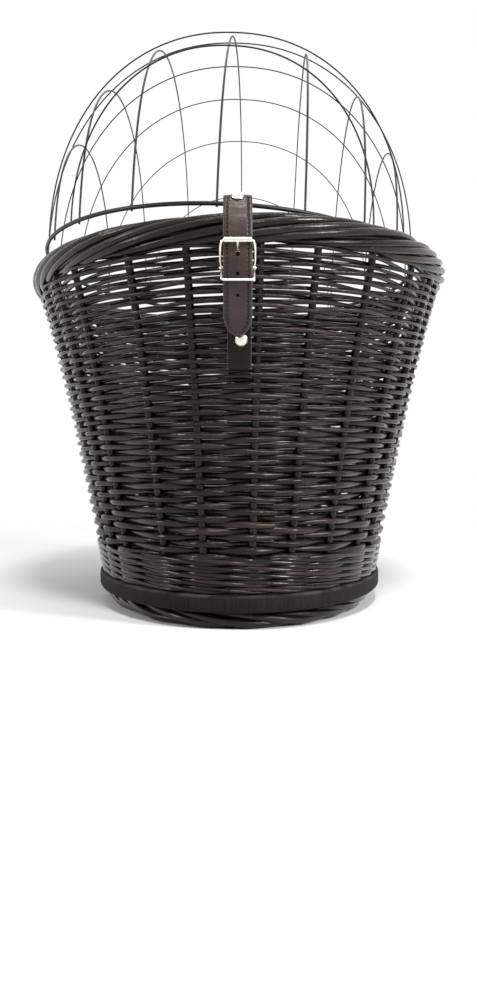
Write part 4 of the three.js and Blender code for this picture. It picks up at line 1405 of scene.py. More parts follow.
@dataclass
class LeatherStrip:
    """A strip of leather with eased edges that follows a line in the YZ plane.

    Its line ends at its free end, which hangs down on the outside of the basket, and distances along it count
    from the line's start.
    """

    name: str
    side: Side
    line: Array
    across: float
    width: float
    thickness: float
    tip: float = 0.0
    corner: float = 0.0
    easing: float = 0.0007
    crown: float = 0.0
    # where painted highlights lie along the strip, each a place and a spread
    highlight_spots: Pairs = ()
    stitch_inset: float = 0.0
    step: float = 0.0007
    columns: int = 18
    least_half: float = 0.0002
    worn_width: float = 0.0007
    groove_width: float = 0.0006

    def __post_init__(self) -> None:
        """Measures the line: the distance, the direction and the face's direction at each of its points."""
        self.runs = distances(self.line)
        tangent = np.gradient(self.line, self.runs, axis=0)
        self.tangent = tangent / np.linalg.norm(tangent, axis=1)[:, None]
        self.face = self.side.value * np.stack([-self.tangent[:, 1], self.tangent[:, 0]], axis=-1)

    def length(self) -> float:
        """Gives the strip's length."""
        return float(self.runs[-1])

    def along_at_height(self, height: float) -> float:
        """Gives the distance along the strip where its hanging end is at a height."""
        top = int(np.argmax(self.line[:, 1]))
        return float(np.interp(-height, -self.line[top:, 1], self.runs[top:]))

    def half_width(self, along: float) -> float:
        """Gives half the strip's width at a distance along it, less towards its shaped end."""
        left = self.length() - along
        half = self.width / 2
        if self.tip and left < self.tip:
            return half * math.sqrt(max(0.0, 1 - ((self.tip - left) / self.tip) ** 2))
        if self.corner and left < self.corner:
            return half - self.corner + math.sqrt(max(0.0, self.corner**2 - (self.corner - left) ** 2))
        return half

    def section(self, half: float) -> list[Pair]:
        """Gives the corners of the strip's section, round from the face's one edge to the other and back."""
        deep = self.thickness / 2
        ease = min(self.easing, 0.6 * half, 0.9 * deep)
        flat = half - ease
        top = deep - self.crown - ease
        turns = np.radians(np.linspace(0.0, 90.0, 4))
        face = []
        for x in np.linspace(-flat, flat, self.columns + 1):
            dome = self.crown * (1 - (x / half) ** 2) if half > 0 else 0.0
            face.append((float(x), deep - self.crown + dome))
        right = [(flat + ease * math.sin(a), top + ease * math.cos(a)) for a in turns[1:]]
        under = [(flat + ease * math.cos(a), -deep + ease - ease * math.sin(a)) for a in turns]
        back = [(float(x), -deep) for x in np.linspace(flat, -flat, self.columns // 3 + 1)][1:]
        left = [(-flat - ease * math.sin(a), -deep + ease - ease * math.cos(a)) for a in turns[1:]]
        up = [(-flat - ease * math.cos(a), top + ease * math.sin(a)) for a in turns[:-1]]
        return face + right + under + back + left + up

    def flat(self) -> Piece:
        """Makes the strip laid out flat: x across, y along, z through its thickness."""
        length = self.length()
        steps = max(8, int(length / self.step))
        places = list(np.linspace(0.0, length, steps + 1))
        shaped = self.tip or self.corner
        if shaped:
            near = [length - shaped * (1 - math.cos(a)) for a in np.linspace(math.pi / 2, 0.06, 22)]
            places = [place for place in places if place < length - shaped] + near
        rings = []
        for place in places:
            half = max(self.half_width(place), self.least_half)
            rings.append([(x, place, z) for x, z in self.section(half)])
        return skin(self.name, rings)

    def onto_line(self, points: Array) -> Array:
        """Bends flat points onto the strip's line.

        Args:
            points: Points across, along and through the flat strip, one a row.

        Returns:
            The points in the basket's frame.
        """
        along = np.clip(points[:, 1], 0.0, self.length())
        y, z = (np.interp(along, self.runs, values) for values in self.line.T)
        face_y, face_z = (np.interp(along, self.runs, values) for values in self.face.T)
        size = np.hypot(face_y, face_z)
        rise = points[:, 2] / size
        return np.stack(
            [self.across + self.side.value * points[:, 0], y + face_y * rise, z + face_z * rise], axis=-1
        )

    def seat(self, along: float, across: float = 0.0) -> tuple[Vector, Vector]:
        """Gives a place on the strip's face and the direction out of it."""
        deep = self.thickness / 2
        place, above = self.onto_line(np.array([[across, along, deep], [across, along, 2 * deep]]))
        return Vector(place), (Vector(above) - Vector(place)).normalized()

    def seam(self, start: float, steps: int = 24) -> Array:
        """Gives the line of the stitches, down one side, round the shaped end and up the other."""
        side = self.width / 2 - self.stitch_inset
        turn = self.length() - self.tip
        straight = np.linspace(start, turn, 4 * steps, endpoint=False)
        angles = np.linspace(0.0, math.pi, steps + 1)
        down = np.full(straight.size, side)
        x = np.concatenate([down, side * np.cos(angles), -down])
        bottom = turn + (self.tip - self.stitch_inset) * np.sin(angles)
        along = np.concatenate([straight, bottom, straight[::-1]])
        dome = self.crown * (1 - (side / self.width * 2) ** 2)
        rise = np.full(x.size, self.thickness / 2 - self.crown + dome)
        return equal_steps(self.onto_line(np.stack([x, along, rise], axis=-1)), 12 * steps)

    def mark(self, mesh: bpy.types.Mesh, flat: Array) -> None:
        """Stores where the leather's edges are worn, and where shade is painted along its stitching and a
        highlight where it is bent.

        Args:
            mesh: The strip's mesh.
            flat: Its points when the strip lies flat.
        """
        length = self.length()
        halves = np.array([self.half_width(min(place, length)) for place in flat[:, 1]])
        border = halves - np.abs(flat[:, 0])
        edge = np.clip(1 - border / self.worn_width, 0.0, 1.0) * (flat[:, 2] > -0.3 * self.thickness)
        # mask for the painted shade along the stitching; the bump reads it too
        if self.stitch_inset:
            shaded_groove = np.clip(1 - np.abs(border - self.stitch_inset) / self.groove_width, 0.0, 1.0)
        else:
            shaded_groove = np.zeros(len(flat))
        # mask for the painted highlight where the strip is bent
        bend = np.zeros(len(flat))
        for centre, spread in self.highlight_spots:
            bend = np.maximum(bend, np.exp(-(((flat[:, 1] - centre) / spread) ** 2)))
        for label, values in (("edge", edge), ("shaded_groove", shaded_groove), ("bend", bend)):
            layer = mesh.attributes.new(label, "FLOAT", "POINT")
            layer.data.foreach_set("value", values.astype(np.float32))

    def make(self, material: Material, holes: Sequence[tuple[float, float, float, float]] = ()) -> Piece:
        """Makes the strip.

        Args:
            material: Its leather.
            holes: The place across, the place along, the half width and the half length of each hole.

        Returns:
            The strip, bent onto its line.
        """
        strip = self.flat()
        if holes:
            drill = bmesh.new()
            for x, y, wide, long in holes:
                shape = Matrix.Translation((x, y, 0.0)) @ Matrix.Diagonal((wide, long, 1.0, 1.0))
                drill_hole(drill, shape, 1.0, 4 * self.thickness, 24)
            strip = cut(strip, from_bmesh(f"{self.name}_holes", drill))
        mesh = strip.data
        flat = np.empty(3 * len(mesh.vertices), np.float32)
        mesh.vertices.foreach_get("co", flat)
        flat = flat.reshape(-1, 3).astype(float)
        mesh.vertices.foreach_set("co", self.onto_line(flat).astype(np.float32).ravel())
        self.mark(mesh, flat)
        mesh.update()
        sharp_corners(strip, LEATHER_SMOOTH_BELOW)
        coat(strip, material)
        return strip


# Turned and bent metal


SCREWS = ("rear_left", "rear_right", "front_left", "front_right")


def lathe(
    name: str,
    profile: Pairs,
    place: Vector,
    axis: Vector,
    segments: int = 48,
) -> Piece:
    """Spins a profile about an axis.

    Args:
        name: The piece's name.
        profile: Each corner's radius and distance along the axis. It makes a closed body where it starts
            and ends on the axis, and a ring elsewhere.
        place: Where the axis starts.
        axis: The direction of the axis.
        segments: How many steps there are round the axis.

    Returns:
        The piece.
    """
    turn = UP.rotation_difference(axis).to_matrix()
    work = bmesh.new()
    rings = []
    for radius, height in profile:
        count = 1 if radius == 0 else segments
        angles = [2 * math.pi * i / segments for i in range(count)]
        rings.append([
            work.verts.new(place + turn @ Vector((radius * math.cos(a), radius * math.sin(a), height)))
            for a in angles
        ])
    pairs = list(zip(rings, rings[1:]))
    if profile[0][0] > 0:
        pairs.append((rings[-1], rings[0]))
    for first, second in pairs:
        for i in range(segments):
            j = (i + 1) % segments
            corners = [ring[k % len(ring)] for ring, k in ((first, i), (first, j), (second, j), (second, i))]
            work.faces.new(list(dict.fromkeys(corners)))
    return from_bmesh(name, work)


def eased_tube(inner: float, outer: float, low: float, high: float, edge: float) -> list[Pair]:
    """Gives the profile of a tube whose four edges are eased, from the inside at its low end outwards."""
    up = [(inner, low + edge), (inner + edge, low), (outer - edge, low), (outer, low + edge)]
    down = [(outer, high - edge), (outer - edge, high), (inner + edge, high), (inner, high - edge)]
    return up + down


def rounded_corners(corners: Sequence[Vector], reach: float, steps: int = 10) -> Array:
    """Joins corners by straight runs with a curve at each bend."""
    points = [corners[0]]
    for before, corner, after in zip(corners, corners[1:], corners[2:]):
        start = corner + (before - corner).normalized() * min(reach, LONGEST_BEND * (before - corner).length)
        end = corner + (after - corner).normalized() * min(reach, LONGEST_BEND * (after - corner).length)
        for t in np.linspace(0.0, 1.0, steps + 1):
            points.append(start * (1 - t) ** 2 + corner * 2 * t * (1 - t) + end * t**2)
    points.append(corners[-1])
    return np.array([tuple(point) for point in points])


def round_ended(points: Array, radius: float, tip_radius: float | None = None, steps: int = 5) -> Strand:
    """Makes a wire whose ends are domed.

    Args:
        points: Its centre line.
        radius: Its radius.
        tip_radius: Its radius at its far end, where that differs.
        steps: How many steps each dome has.

    Returns:
        The wire.
    """
    last = radius if tip_radius is None else tip_radius
    radii = np.interp(distances(points), [0.0, distances(points)[-1]], [radius, last])
    turns = np.linspace(0.0, DOME_TURN, steps + 1)[1:]

    def dome(end: Array, inner: Array, size: float) -> tuple[Array, Array]:
        """Gives the dome's points and radii, outwards from the wire's end."""
        way = (end - inner) / np.linalg.norm(end - inner)
        return end + size * np.sin(turns)[:, None] * way, size * np.cos(turns)

    first_points, first_radii = dome(points[0], points[1], radii[0])
    last_points, last_radii = dome(points[-1], points[-2], radii[-1])
    return Strand(
        np.concatenate([first_points[::-1], points, last_points]),
        np.concatenate([first_radii[::-1], radii, last_radii]),
    )


@dataclass(frozen=True)
class Rivet:
    """A domed rivet: its head outside the leather, its shank, and a flat cap inside the wall."""

    head_radius: float = 0.0039
    head_height: float = 0.0022
    rim: float = 0.00045
    shank_radius: float = 0.0015
    cap_radius: float = 0.0031
    cap_height: float = 0.0012
    edge: float = 0.00025

    def head(self) -> list[Pair]:
        """Gives the head's profile: an upright rim, a shoulder and a dome."""
        dome = self.head_height - self.rim
        inner = self.head_radius - self.edge
        turns = np.linspace(0.0, math.pi / 2, 10)
        curve = [(inner * math.cos(a), self.rim + dome * math.sin(a)) for a in turns[:-1]]
        return [(inner, 0.0), (self.head_radius, self.edge), *curve, (0.0, self.head_height)]

    def build(self, name: str, place: Vector, axis: Vector, grip: float, capped: bool = True) -> Piece:
        """Makes the rivet.

        Args:
            name: The piece's name.
            place: The seat of its head.
            axis: The direction out of the leather.
            grip: How far below the seat its shank reaches.
            capped: Whether it has a cap inside.

        Returns:
            The piece.
        """
        shank = [(self.shank_radius, -grip), (self.shank_radius, 0.0)]
        if capped:
            low = -grip - self.cap_height
            cap = [
                (0.0, low),
                (self.cap_radius - self.edge, low),
                (self.cap_radius, low + self.edge),
                (self.cap_radius, -grip),
            ]
        else:
            cap = [(0.0, -grip)]
        return lathe(name, [*cap, *shank, *self.head()], place, axis)

    def through_wall(self, node: str, place: Vector, axis: Vector) -> Piece:
        """Makes a rivet whose cap lies where the CAD model's does."""
        low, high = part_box(node)
        inner = high.y if axis.y < 0 else low.y
        deep = abs(inner - place.y) - self.cap_radius * abs(axis.z)
        return self.build(f"domed_{node}", place, axis, deep / abs(axis.y) - self.cap_height)


# Hinges


@dataclass
class Hinges:
    """Two leather hinges at the far end, each with an eye round the loop's wire and a rivet in the wall."""

    shape: WallShape
    width: float = 0.013
    thickness: float = 0.0022
    bore: float = 0.0034
    gap: float = 0.0003
    corner: float = 0.003
    knee: float = 0.42
    # where a painted highlight lies, as a share of the strap's length, and its spread
    bend: Pair = (0.45, 0.006)
    rivet_height: float = 0.008
    eye_arc: Pair = (305.0, 62.0)
    rim_turns: tuple[float, ...] = (42.0, 20.0, 0.0, -30.0)

    def build(self, kit: Kit) -> None:
        """Makes both hinges with their rivets."""
        hinge = joint_place("grille_hinge")
        axis = joint_axis("grille_hinge")
        for side in ("left", "right"):
            node = f"{side}_hinge_strap"
            low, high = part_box(node)
            x = (low.x + high.x) / 2
            touch = min(abs(low.x), abs(high.x))
            eye = hinge + axis * (x / axis.x)
            line = self.line(eye, touch, low.z, low.z + self.knee * (high.z - low.z))
            # the painted highlight's place along the strap and its spread
            bend = (distances(line)[-1] * self.bend[0], self.bend[1])
            strip = LeatherStrip(
                f"bent_{node}",
                Side.FAR,
                line,
                x,
                self.width,
                self.thickness,
                corner=self.corner,
                highlight_spots=(bend,),
            )
            piece = strip.make(kit.strap)
            hand_over(piece, Body.BASKET.value, Slot.STRAP, node)
            seat, outward = strip.seat(strip.along_at_height(low.z + self.rivet_height))
            rivet = Rivet().through_wall(f"{side}_hinge_rivet", seat, outward)
            dress(rivet, kit.nickel, Body.BASKET.value, Slot.NICKEL, f"{side}_hinge_rivet")

    def line(self, eye: Vector, touch: float, bottom: float, knee: float) -> Array:
        """Gives the hinge's centre line: round the wire, over the rim and down the wall.

        Args:
            eye: The middle of the wire inside the eye.
            touch: How far from the YZ plane the leather meets the wall and the rim.
            bottom: The height of its lower end.
            knee: The height where it reaches the wall.

        Returns:
            The line's points, y and z.
        """
        half = self.thickness / 2
        round_wire = arc((eye.y, eye.z), self.bore + half, *self.eye_arc)
        over = round_rim(touch, self.gap + half, Side.FAR, self.rim_turns)
        down = [(self.shape.face(z, touch, Side.FAR) + self.gap + half, z) for z in (knee, bottom)]
        return np.concatenate([round_wire[:-1], smooth_line([round_wire[-1], *over, *down])])


def round_rim(touch: float, lift: float, side: Side, degrees: Sequence[float]) -> list[Pair]:
    """Gives places of a strap's centre line round the outside of the rolled rim.

    Args:
        touch: How far from the YZ plane the strap meets the rim.
        lift: How far outside the rim the line lies.
        side: The end of the basket.
        degrees: The angles above the level.

    Returns:
        The places, y and z.
    """
    low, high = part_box("rim_border")
    centre = (low + high) / 2
    radius = (high.z - low.z) / 2
    half_y = (high.y - low.y) / 2
    outer = half_y * math.sqrt(1 - (touch / high.x) ** 2) - radius
    return [
        (
            centre.y + side.value * (outer + (radius + lift) * math.cos(math.radians(degree))),
            centre.z + (radius + lift) * math.sin(math.radians(degree)),
        )
        for degree in degrees
    ]


# Closure: strap, buckle and tab


@dataclass
class Closure:
    """The strap that hangs from the grille's loop, the roller buckle, and the tab that holds the buckle."""

    shape: WallShape
    gap: float = 0.0003
    wire_gap: float = 0.0001
    loop_radius: float = 0.0015
    strap_thickness: float = 0.0032
    strap_tip: float = 0.015
    strap_crown: float = 0.0006
    strap_arc: Pair = (235.0, 450.0)
    strap_level: float = 0.005
    rim_turns: tuple[float, ...] = (55.0, 28.0, 0.0)
    rivet_from_wire: float = 0.0055
    rivet_height: float = 0.0014
    stitch_inset: float = 0.0025
    stitch_pitch: float = 0.0027
    stitch_length: float = 0.0020
    thread: float = 0.0010
    hole_radius: float = 0.0011
    hole_heights: tuple[float, ...] = (0.2342, 0.2212)
    prong_hole_height: float = 0.2468
    prong_hole: Pair = (1.25, 2.2)
    # painted highlights on the strap: past the rivet where it is bent over the rim, and round the prong's
    # hole
    rim_highlight: Pair = (0.011, 0.006)
    prong_highlight_spread: float = 0.003
    seam_from_rivet: float = 0.005
    rivet_grip: float = 0.9
    tab_corner: float = 0.0015
    leather: float = 0.0022
    tab_rivet_above_end: float = 0.0185
    wire_radius: float = 0.0008
    bar_radius: float = 0.0012
    roller_wall: float = 0.0005
    roller_edge: float = 0.0002
    lower_drop: float = 0.0085
    lower_back: float = 0.002
    tab_heights: tuple[float, ...] = (0.04, 0.40, 0.75)
    tab_fold: Pair = (-12.0, 192.0)
    tab_slot: Pair = (0.0018, 0.0058)
    bend_radius: float = 0.0026
    bar_end: float = 0.0007
    lower_wide: float = 0.0003
    pinch: float = 0.01005
    wide: float = 0.0109
    lean: float = 0.0023
    shoulder: float = 0.0035
    prong_radii: Pair = (0.00105, 0.0007)
    prong_arc: Pair = (190.0, 462.0)
    prong_bend: Pair = (0.0047, 0.007)
    prong_below_roller: Pair = (0.0024, 0.0009)

    def __post_init__(self) -> None:
        """Finds the wire, the bars and the strap's places from the CAD model."""
        self.wire = joint_place("strap_swing")
        self.bar = joint_place("buckle_swing")
        self.roller = joint_place("roller_spin")
        self.x = middle("buckle_frame").x
        strap_low, strap_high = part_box("closing_strap")
        tab_low, tab_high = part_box("anchor_tab")
        roller_low, roller_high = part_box("buckle_roller")
        self.strap_width = strap_high.x - strap_low.x
        self.tip_height = strap_low.z
        self.tab_bottom = tab_low.z
        self.tab_width = tab_high.x - tab_low.x
        self.roller_radius = (roller_high.z - roller_low.z) / 2
        self.roller_half = (roller_high.x - roller_low.x) / 2
        half = self.strap_thickness / 2
        self.at_rim = self.roller.y + self.roller_radius + self.gap + half
        self.at_bar = self.bar.y - self.bar_radius - self.gap - self.leather - self.gap - half
        lower_y = self.at_bar + self.lower_back - half - self.gap - self.wire_radius
        self.lower = Vector((self.x, lower_y, self.bar.z - self.lower_drop))

    def strap_line(self) -> Array:
        """Gives the strap's centre line: round the wire, over the rim, through the buckle, to its tip."""
        half = self.strap_thickness / 2
        eye = arc((self.wire.y, self.wire.z), self.loop_radius + self.wire_gap + half, *self.strap_arc)
        over = round_rim(0.0, self.gap + half, Side.NEAR, self.rim_turns)
        tip_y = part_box("tab_rivet")[0].y - self.gap - half
        low_y = self.at_bar + self.lower_back
        level = [(self.wire.y - self.strap_level, eye[-1][1])]
        down = [
            (self.at_rim, self.roller.z),
            (self.at_bar, self.bar.z),
            (low_y, self.lower.z),
            ((low_y + tip_y) / 2, (self.lower.z + self.tip_height) / 2),
            (tip_y, self.tip_height),
        ]
        return np.concatenate([eye[:-1], smooth_line([eye[-1], *level, *over, *down])])

    def build_strap(self, kit: Kit) -> None:
        """Makes the strap with its stitches and its rivet."""
        strip = LeatherStrip(
            "stitched_strap",
            Side.NEAR,
            self.strap_line(),
            self.x,
            self.strap_width,
            self.strap_thickness,
            tip=self.strap_tip,
            crown=self.strap_crown,
            stitch_inset=self.stitch_inset,
        )
        eye = math.radians(self.strap_arc[1] - self.strap_arc[0])
        over_wire = eye * (self.loop_radius + self.wire_gap + self.strap_thickness / 2)
        rivet_along = over_wire + self.rivet_from_wire
        slot = strip.along_at_height(self.prong_hole_height)
        # painted highlights where the strap is bent over the rim and round the prong's hole
        strip.highlight_spots = ((rivet_along + self.rim_highlight[0], self.rim_highlight[1]), (slot, self.prong_highlight_spread))
        size = self.hole_radius
        holes = [(0.0, strip.along_at_height(z), size, size) for z in self.hole_heights]
        holes.append((0.0, slot, self.prong_hole[0] * size, self.prong_hole[1] * size))
        piece = strip.make(kit.strap, holes)
        hand_over(piece, Body.STRAP.value, Slot.STRAP, "closing_strap")
        seam = strip.seam(rivet_along + self.seam_from_rivet)
        thread = kit.stitches.run(
            guide("strap_stitches", [Strand(seam, np.full(len(seam), self.thread))]),
            {
                "Pitch": self.stitch_pitch,
                "Length": self.stitch_length,
                "Thread": self.thread,
                "Material": kit.thread,
            },
        )
        hand_over(thread, Body.STRAP.value, Slot.STRAP)
        seat, outward = strip.seat(rivet_along)
        rivet = Rivet(head_height=self.rivet_height).build(
            "domed_strap_rivet", seat, outward, self.rivet_grip * self.strap_thickness, capped=False
        )
        dress(rivet, kit.nickel, Body.STRAP.value, Slot.NICKEL, "strap_rivet")

    def build_tab(self, kit: Kit) -> None:
        """Makes the tab, folded round the buckle's bar, and its rivet."""
        half = self.leather / 2
        under = self.gap + half
        over = under + self.leather
        heights = [self.tab_bottom + share * (self.bar.z - self.tab_bottom) for share in self.tab_heights]
        back = [(self.shape.face(z, 0.0, Side.NEAR) - under, z) for z in heights]
        fold = arc((self.bar.y, self.bar.z), self.bar_radius + self.gap + half, *self.tab_fold)
        heights[0] = self.tab_bottom
        front = [(self.shape.face(z, 0.0, Side.NEAR) - over, z) for z in reversed(heights)]
        rising = smooth_line([*back, fold[0]])
        falling = smooth_line([fold[-1], *front])
        strip = LeatherStrip(
            "folded_tab",
            Side.NEAR,
            np.concatenate([rising, fold[1:-1], falling]),
            middle("anchor_tab").x,
            self.tab_width,
            self.leather,
            corner=self.tab_corner,
        )
        top = distances(rising)[-1] + 0.5 * distances(np.array(fold))[-1]
        piece = strip.make(kit.tab, [(self.x * Side.NEAR.value, top, *self.tab_slot)])
        hand_over(piece, Body.BASKET.value, Slot.TAB, "anchor_tab")
        place = strip.along_at_height(self.tab_bottom + self.tab_rivet_above_end)
        seat, outward = strip.seat(place, Side.NEAR.value * middle("tab_rivet").x)
        rivet = Rivet().through_wall("tab_rivet", seat, outward)
        dress(rivet, kit.nickel, Body.BASKET.value, Slot.NICKEL, "tab_rivet")

    def bow(self, half_in: float, half_out: float, end: Vector, way: float) -> list[Vector]:
        """Gives the corners of one arm of the buckle's frame, from the centre bar to a crossbar's middle.

        Args:
            half_in: Half the frame's width at the crossbar.
            half_out: Half its width between the bars.
            end: The crossbar's middle.
            way: 1 for an arm that rises, -1 for one that drops.

        Returns:
            The corners, on the +X side.
        """
        near_bar = Vector((self.x + half_out, self.bar.y - self.lean, self.bar.z + way * self.shoulder))
        near_end = Vector((self.x + half_out, end.y + self.lean, end.z - way * self.shoulder))
        return [
            Vector((self.x + self.pinch, self.bar.y, self.bar.z)),
            *([near_bar] if way > 0 else []),
            near_end,
            Vector((self.x + half_in, end.y, end.z)),
            Vector((self.x, end.y, end.z)),
        ]

    def mirrored(self, corners: Sequence[Vector]) -> list[Vector]:
        """Carries the corners of one side on to the other side."""
        return [*corners, *(Vector((2 * self.x - c.x, c.y, c.z)) for c in reversed(corners[:-1]))]

    def build_frame(self, kit: Kit) -> None:
        """Makes the buckle's frame: two bows and the centre bar."""
        upper = self.bow(self.roller_half + self.gap + self.wire_radius, self.wide, self.roller, 1.0)
        wide = self.pinch + self.lower_wide
        lower = self.bow(wide, wide, self.lower, -1.0)
        strands = [
            round_ended(rounded_corners(self.mirrored(corners), self.bend_radius), self.wire_radius)
            for corners in (upper, lower)
        ]
        end = self.pinch + self.bar_end
        ends = [Vector((self.x + side * end, self.bar.y, self.bar.z)) for side in (-1, 1)]
        bar = np.linspace(tuple(ends[0]), tuple(ends[1]), 12)
        strands.append(round_ended(bar, self.bar_radius))
        piece = kit.sweeps.sweep("bent_buckle_frame", strands, kit.nickel, FINE_SIDES)
        hand_over(piece, Body.BUCKLE.value, Slot.NICKEL, "buckle_frame")

    def build_roller(self, kit: Kit) -> None:
        """Makes the roller, a short tube with turned edges."""
        inner = self.roller_radius - self.roller_wall
        end = self.roller_half
        profile = eased_tube(inner, self.roller_radius, -end, end, self.roller_edge)
        place = Vector((self.x, self.roller.y, self.roller.z))
        piece = lathe("rolled_roller", profile, place, Vector((1.0, 0.0, 0.0)))
        dress(piece, kit.nickel, Body.ROLLER.value, Slot.NICKEL, "buckle_roller")

    def build_prong(self, kit: Kit) -> None:
        """Makes the prong, coiled round the bar, bent forwards through the strap and laid on the roller."""
        radius, tip = self.prong_radii
        eye = arc((self.bar.y, self.bar.z), self.bar_radius + self.wire_gap + radius, *self.prong_arc, 28)
        rest = self.roller.y - self.roller_radius - self.gap - radius
        onward = smooth_line([
            eye[-1],
            (self.bar.y - self.prong_bend[0], self.bar.z + self.prong_bend[1]),
            (rest, self.roller.z - self.prong_below_roller[0]),
            (rest, self.roller.z - self.prong_below_roller[1] - tip),
        ])
        flat = equal_steps(np.concatenate([eye[:-1], onward]), 70)
        points = np.column_stack([np.full(len(flat), self.x), flat])
        wire = round_ended(points, radius, tip)
        piece = kit.sweeps.sweep("bent_prong", [wire], kit.nickel, FINE_SIDES)
        hand_over(piece, Body.PRONG.value, Slot.NICKEL, "buckle_prong")

    def build(self, kit: Kit) -> None:
        """Makes the strap, the tab and the buckle."""
        self.build_strap(kit)
        self.build_tab(kit)
        self.build_frame(kit)
        self.build_roller(kit)
        self.build_prong(kit)


# Rack clamps


@dataclass
class Clamps:
    """Two steel plates under the rack, four socket screws and four washers."""

    shank_radius: float = 0.003
    thread_depth: float = 0.0004
    thread_pitch: float = 0.001
    head_radius: float = 0.006
    head_height: float = 0.003
    head_edge: float = 0.0006
    socket_radius: float = 0.0023
    socket_depth: float = 0.0016
    hole_radius: float = 0.0033
    edge: float = 0.0003
    plate_edge: float = 0.0005

    def screw_profile(self, length: float) -> list[Pair]:
        """Gives the screw's profile from its tip upwards."""
        core = self.shank_radius - self.thread_depth
        profile = [(0.0, 0.0), (core - self.edge, 0.0)]
        height = self.thread_pitch
        while height < length - self.head_height - self.thread_pitch:
            profile += [(core, height), (self.shank_radius, height + 0.5 * self.thread_pitch)]
            height += self.thread_pitch
        seat = length - self.head_height
        profile += [
            (self.shank_radius, seat),
            (self.head_radius - self.edge, seat),
            (self.head_radius, seat + self.edge),
        ]
        turns = np.linspace(0.0, math.pi / 2, 6)
        inset = self.head_radius - self.head_edge
        top = length - self.head_edge
        profile += [(inset + self.head_edge * math.cos(a), top + self.head_edge * math.sin(a)) for a in turns]
        return [*profile, (0.0, length)]

    def build_screw(self, kit: Kit, name: str) -> None:
        """Makes one screw with its hexagonal socket."""
        node = f"{name}_clamp_screw"
        low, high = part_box(node)
        place = underside(node)
        screw = lathe(f"socket_{node}", self.screw_profile(high.z - low.z), place, UP, 36)
        key = bmesh.new()
        top = Matrix.Translation((place.x, place.y, high.z))
        drill_hole(key, top, self.socket_radius, 2 * self.socket_depth, 6)
        screw = cut(screw, from_bmesh(f"{node}_key", key, smooth=False))
        dress(screw, kit.zinc, f"{name}_screw", Slot.ZINC, node, THREAD_SMOOTH_BELOW)

    def build_washer(self, kit: Kit, name: str) -> None:
        """Makes one washer."""
        node = f"{name}_washer"
        low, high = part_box(node)
        profile = eased_tube(self.hole_radius, (high.x - low.x) / 2, 0.0, high.z - low.z, self.edge)
        piece = lathe(f"turned_{node}", profile, underside(node), UP)
        dress(piece, kit.zinc, Body.BASKET.value, Slot.ZINC, node)

    def build_plate(self, kit: Kit, end: str) -> None:
        """Makes one plate, round at both ends, with eased edges and two holes."""
        node = f"{end}_clamp_plate"
        low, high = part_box(node)
        centre = (low + high) / 2
        radius = (high.y - low.y) / 2
        straight = (high.x - low.x) / 2 - radius
        turns = np.linspace(-math.pi / 2, math.pi / 2, 25)
        levels = [(self.plate_edge, low.z), (0.0, low.z + self.plate_edge)]
        levels += [(0.0, high.z - self.plate_edge), (self.plate_edge, high.z)]
        rings = []
        for inset, z in levels:
            ring = []
            for side in (1, -1):
                for a in turns:
                    x = side * (straight + (radius - inset) * math.cos(a))
                    y = side * (radius - inset) * math.sin(a)
                    ring.append((centre.x + x, centre.y + y, z))
            rings.append(ring)
        plate = skin(f"rounded_{node}", rings)
        plate = drilled(plate, node, (f"{end}_left", f"{end}_right"), self.hole_radius)
        dress(plate, kit.zinc, f"{end}_clamp", Slot.ZINC, node)

    def build(self, kit: Kit) -> None:
        """Makes both clamps."""
        for end in ("rear", "front"):
            self.build_plate(kit, end)
        for name in SCREWS:
            self.build_screw(kit, name)
            self.build_washer(kit, name)


# Studio


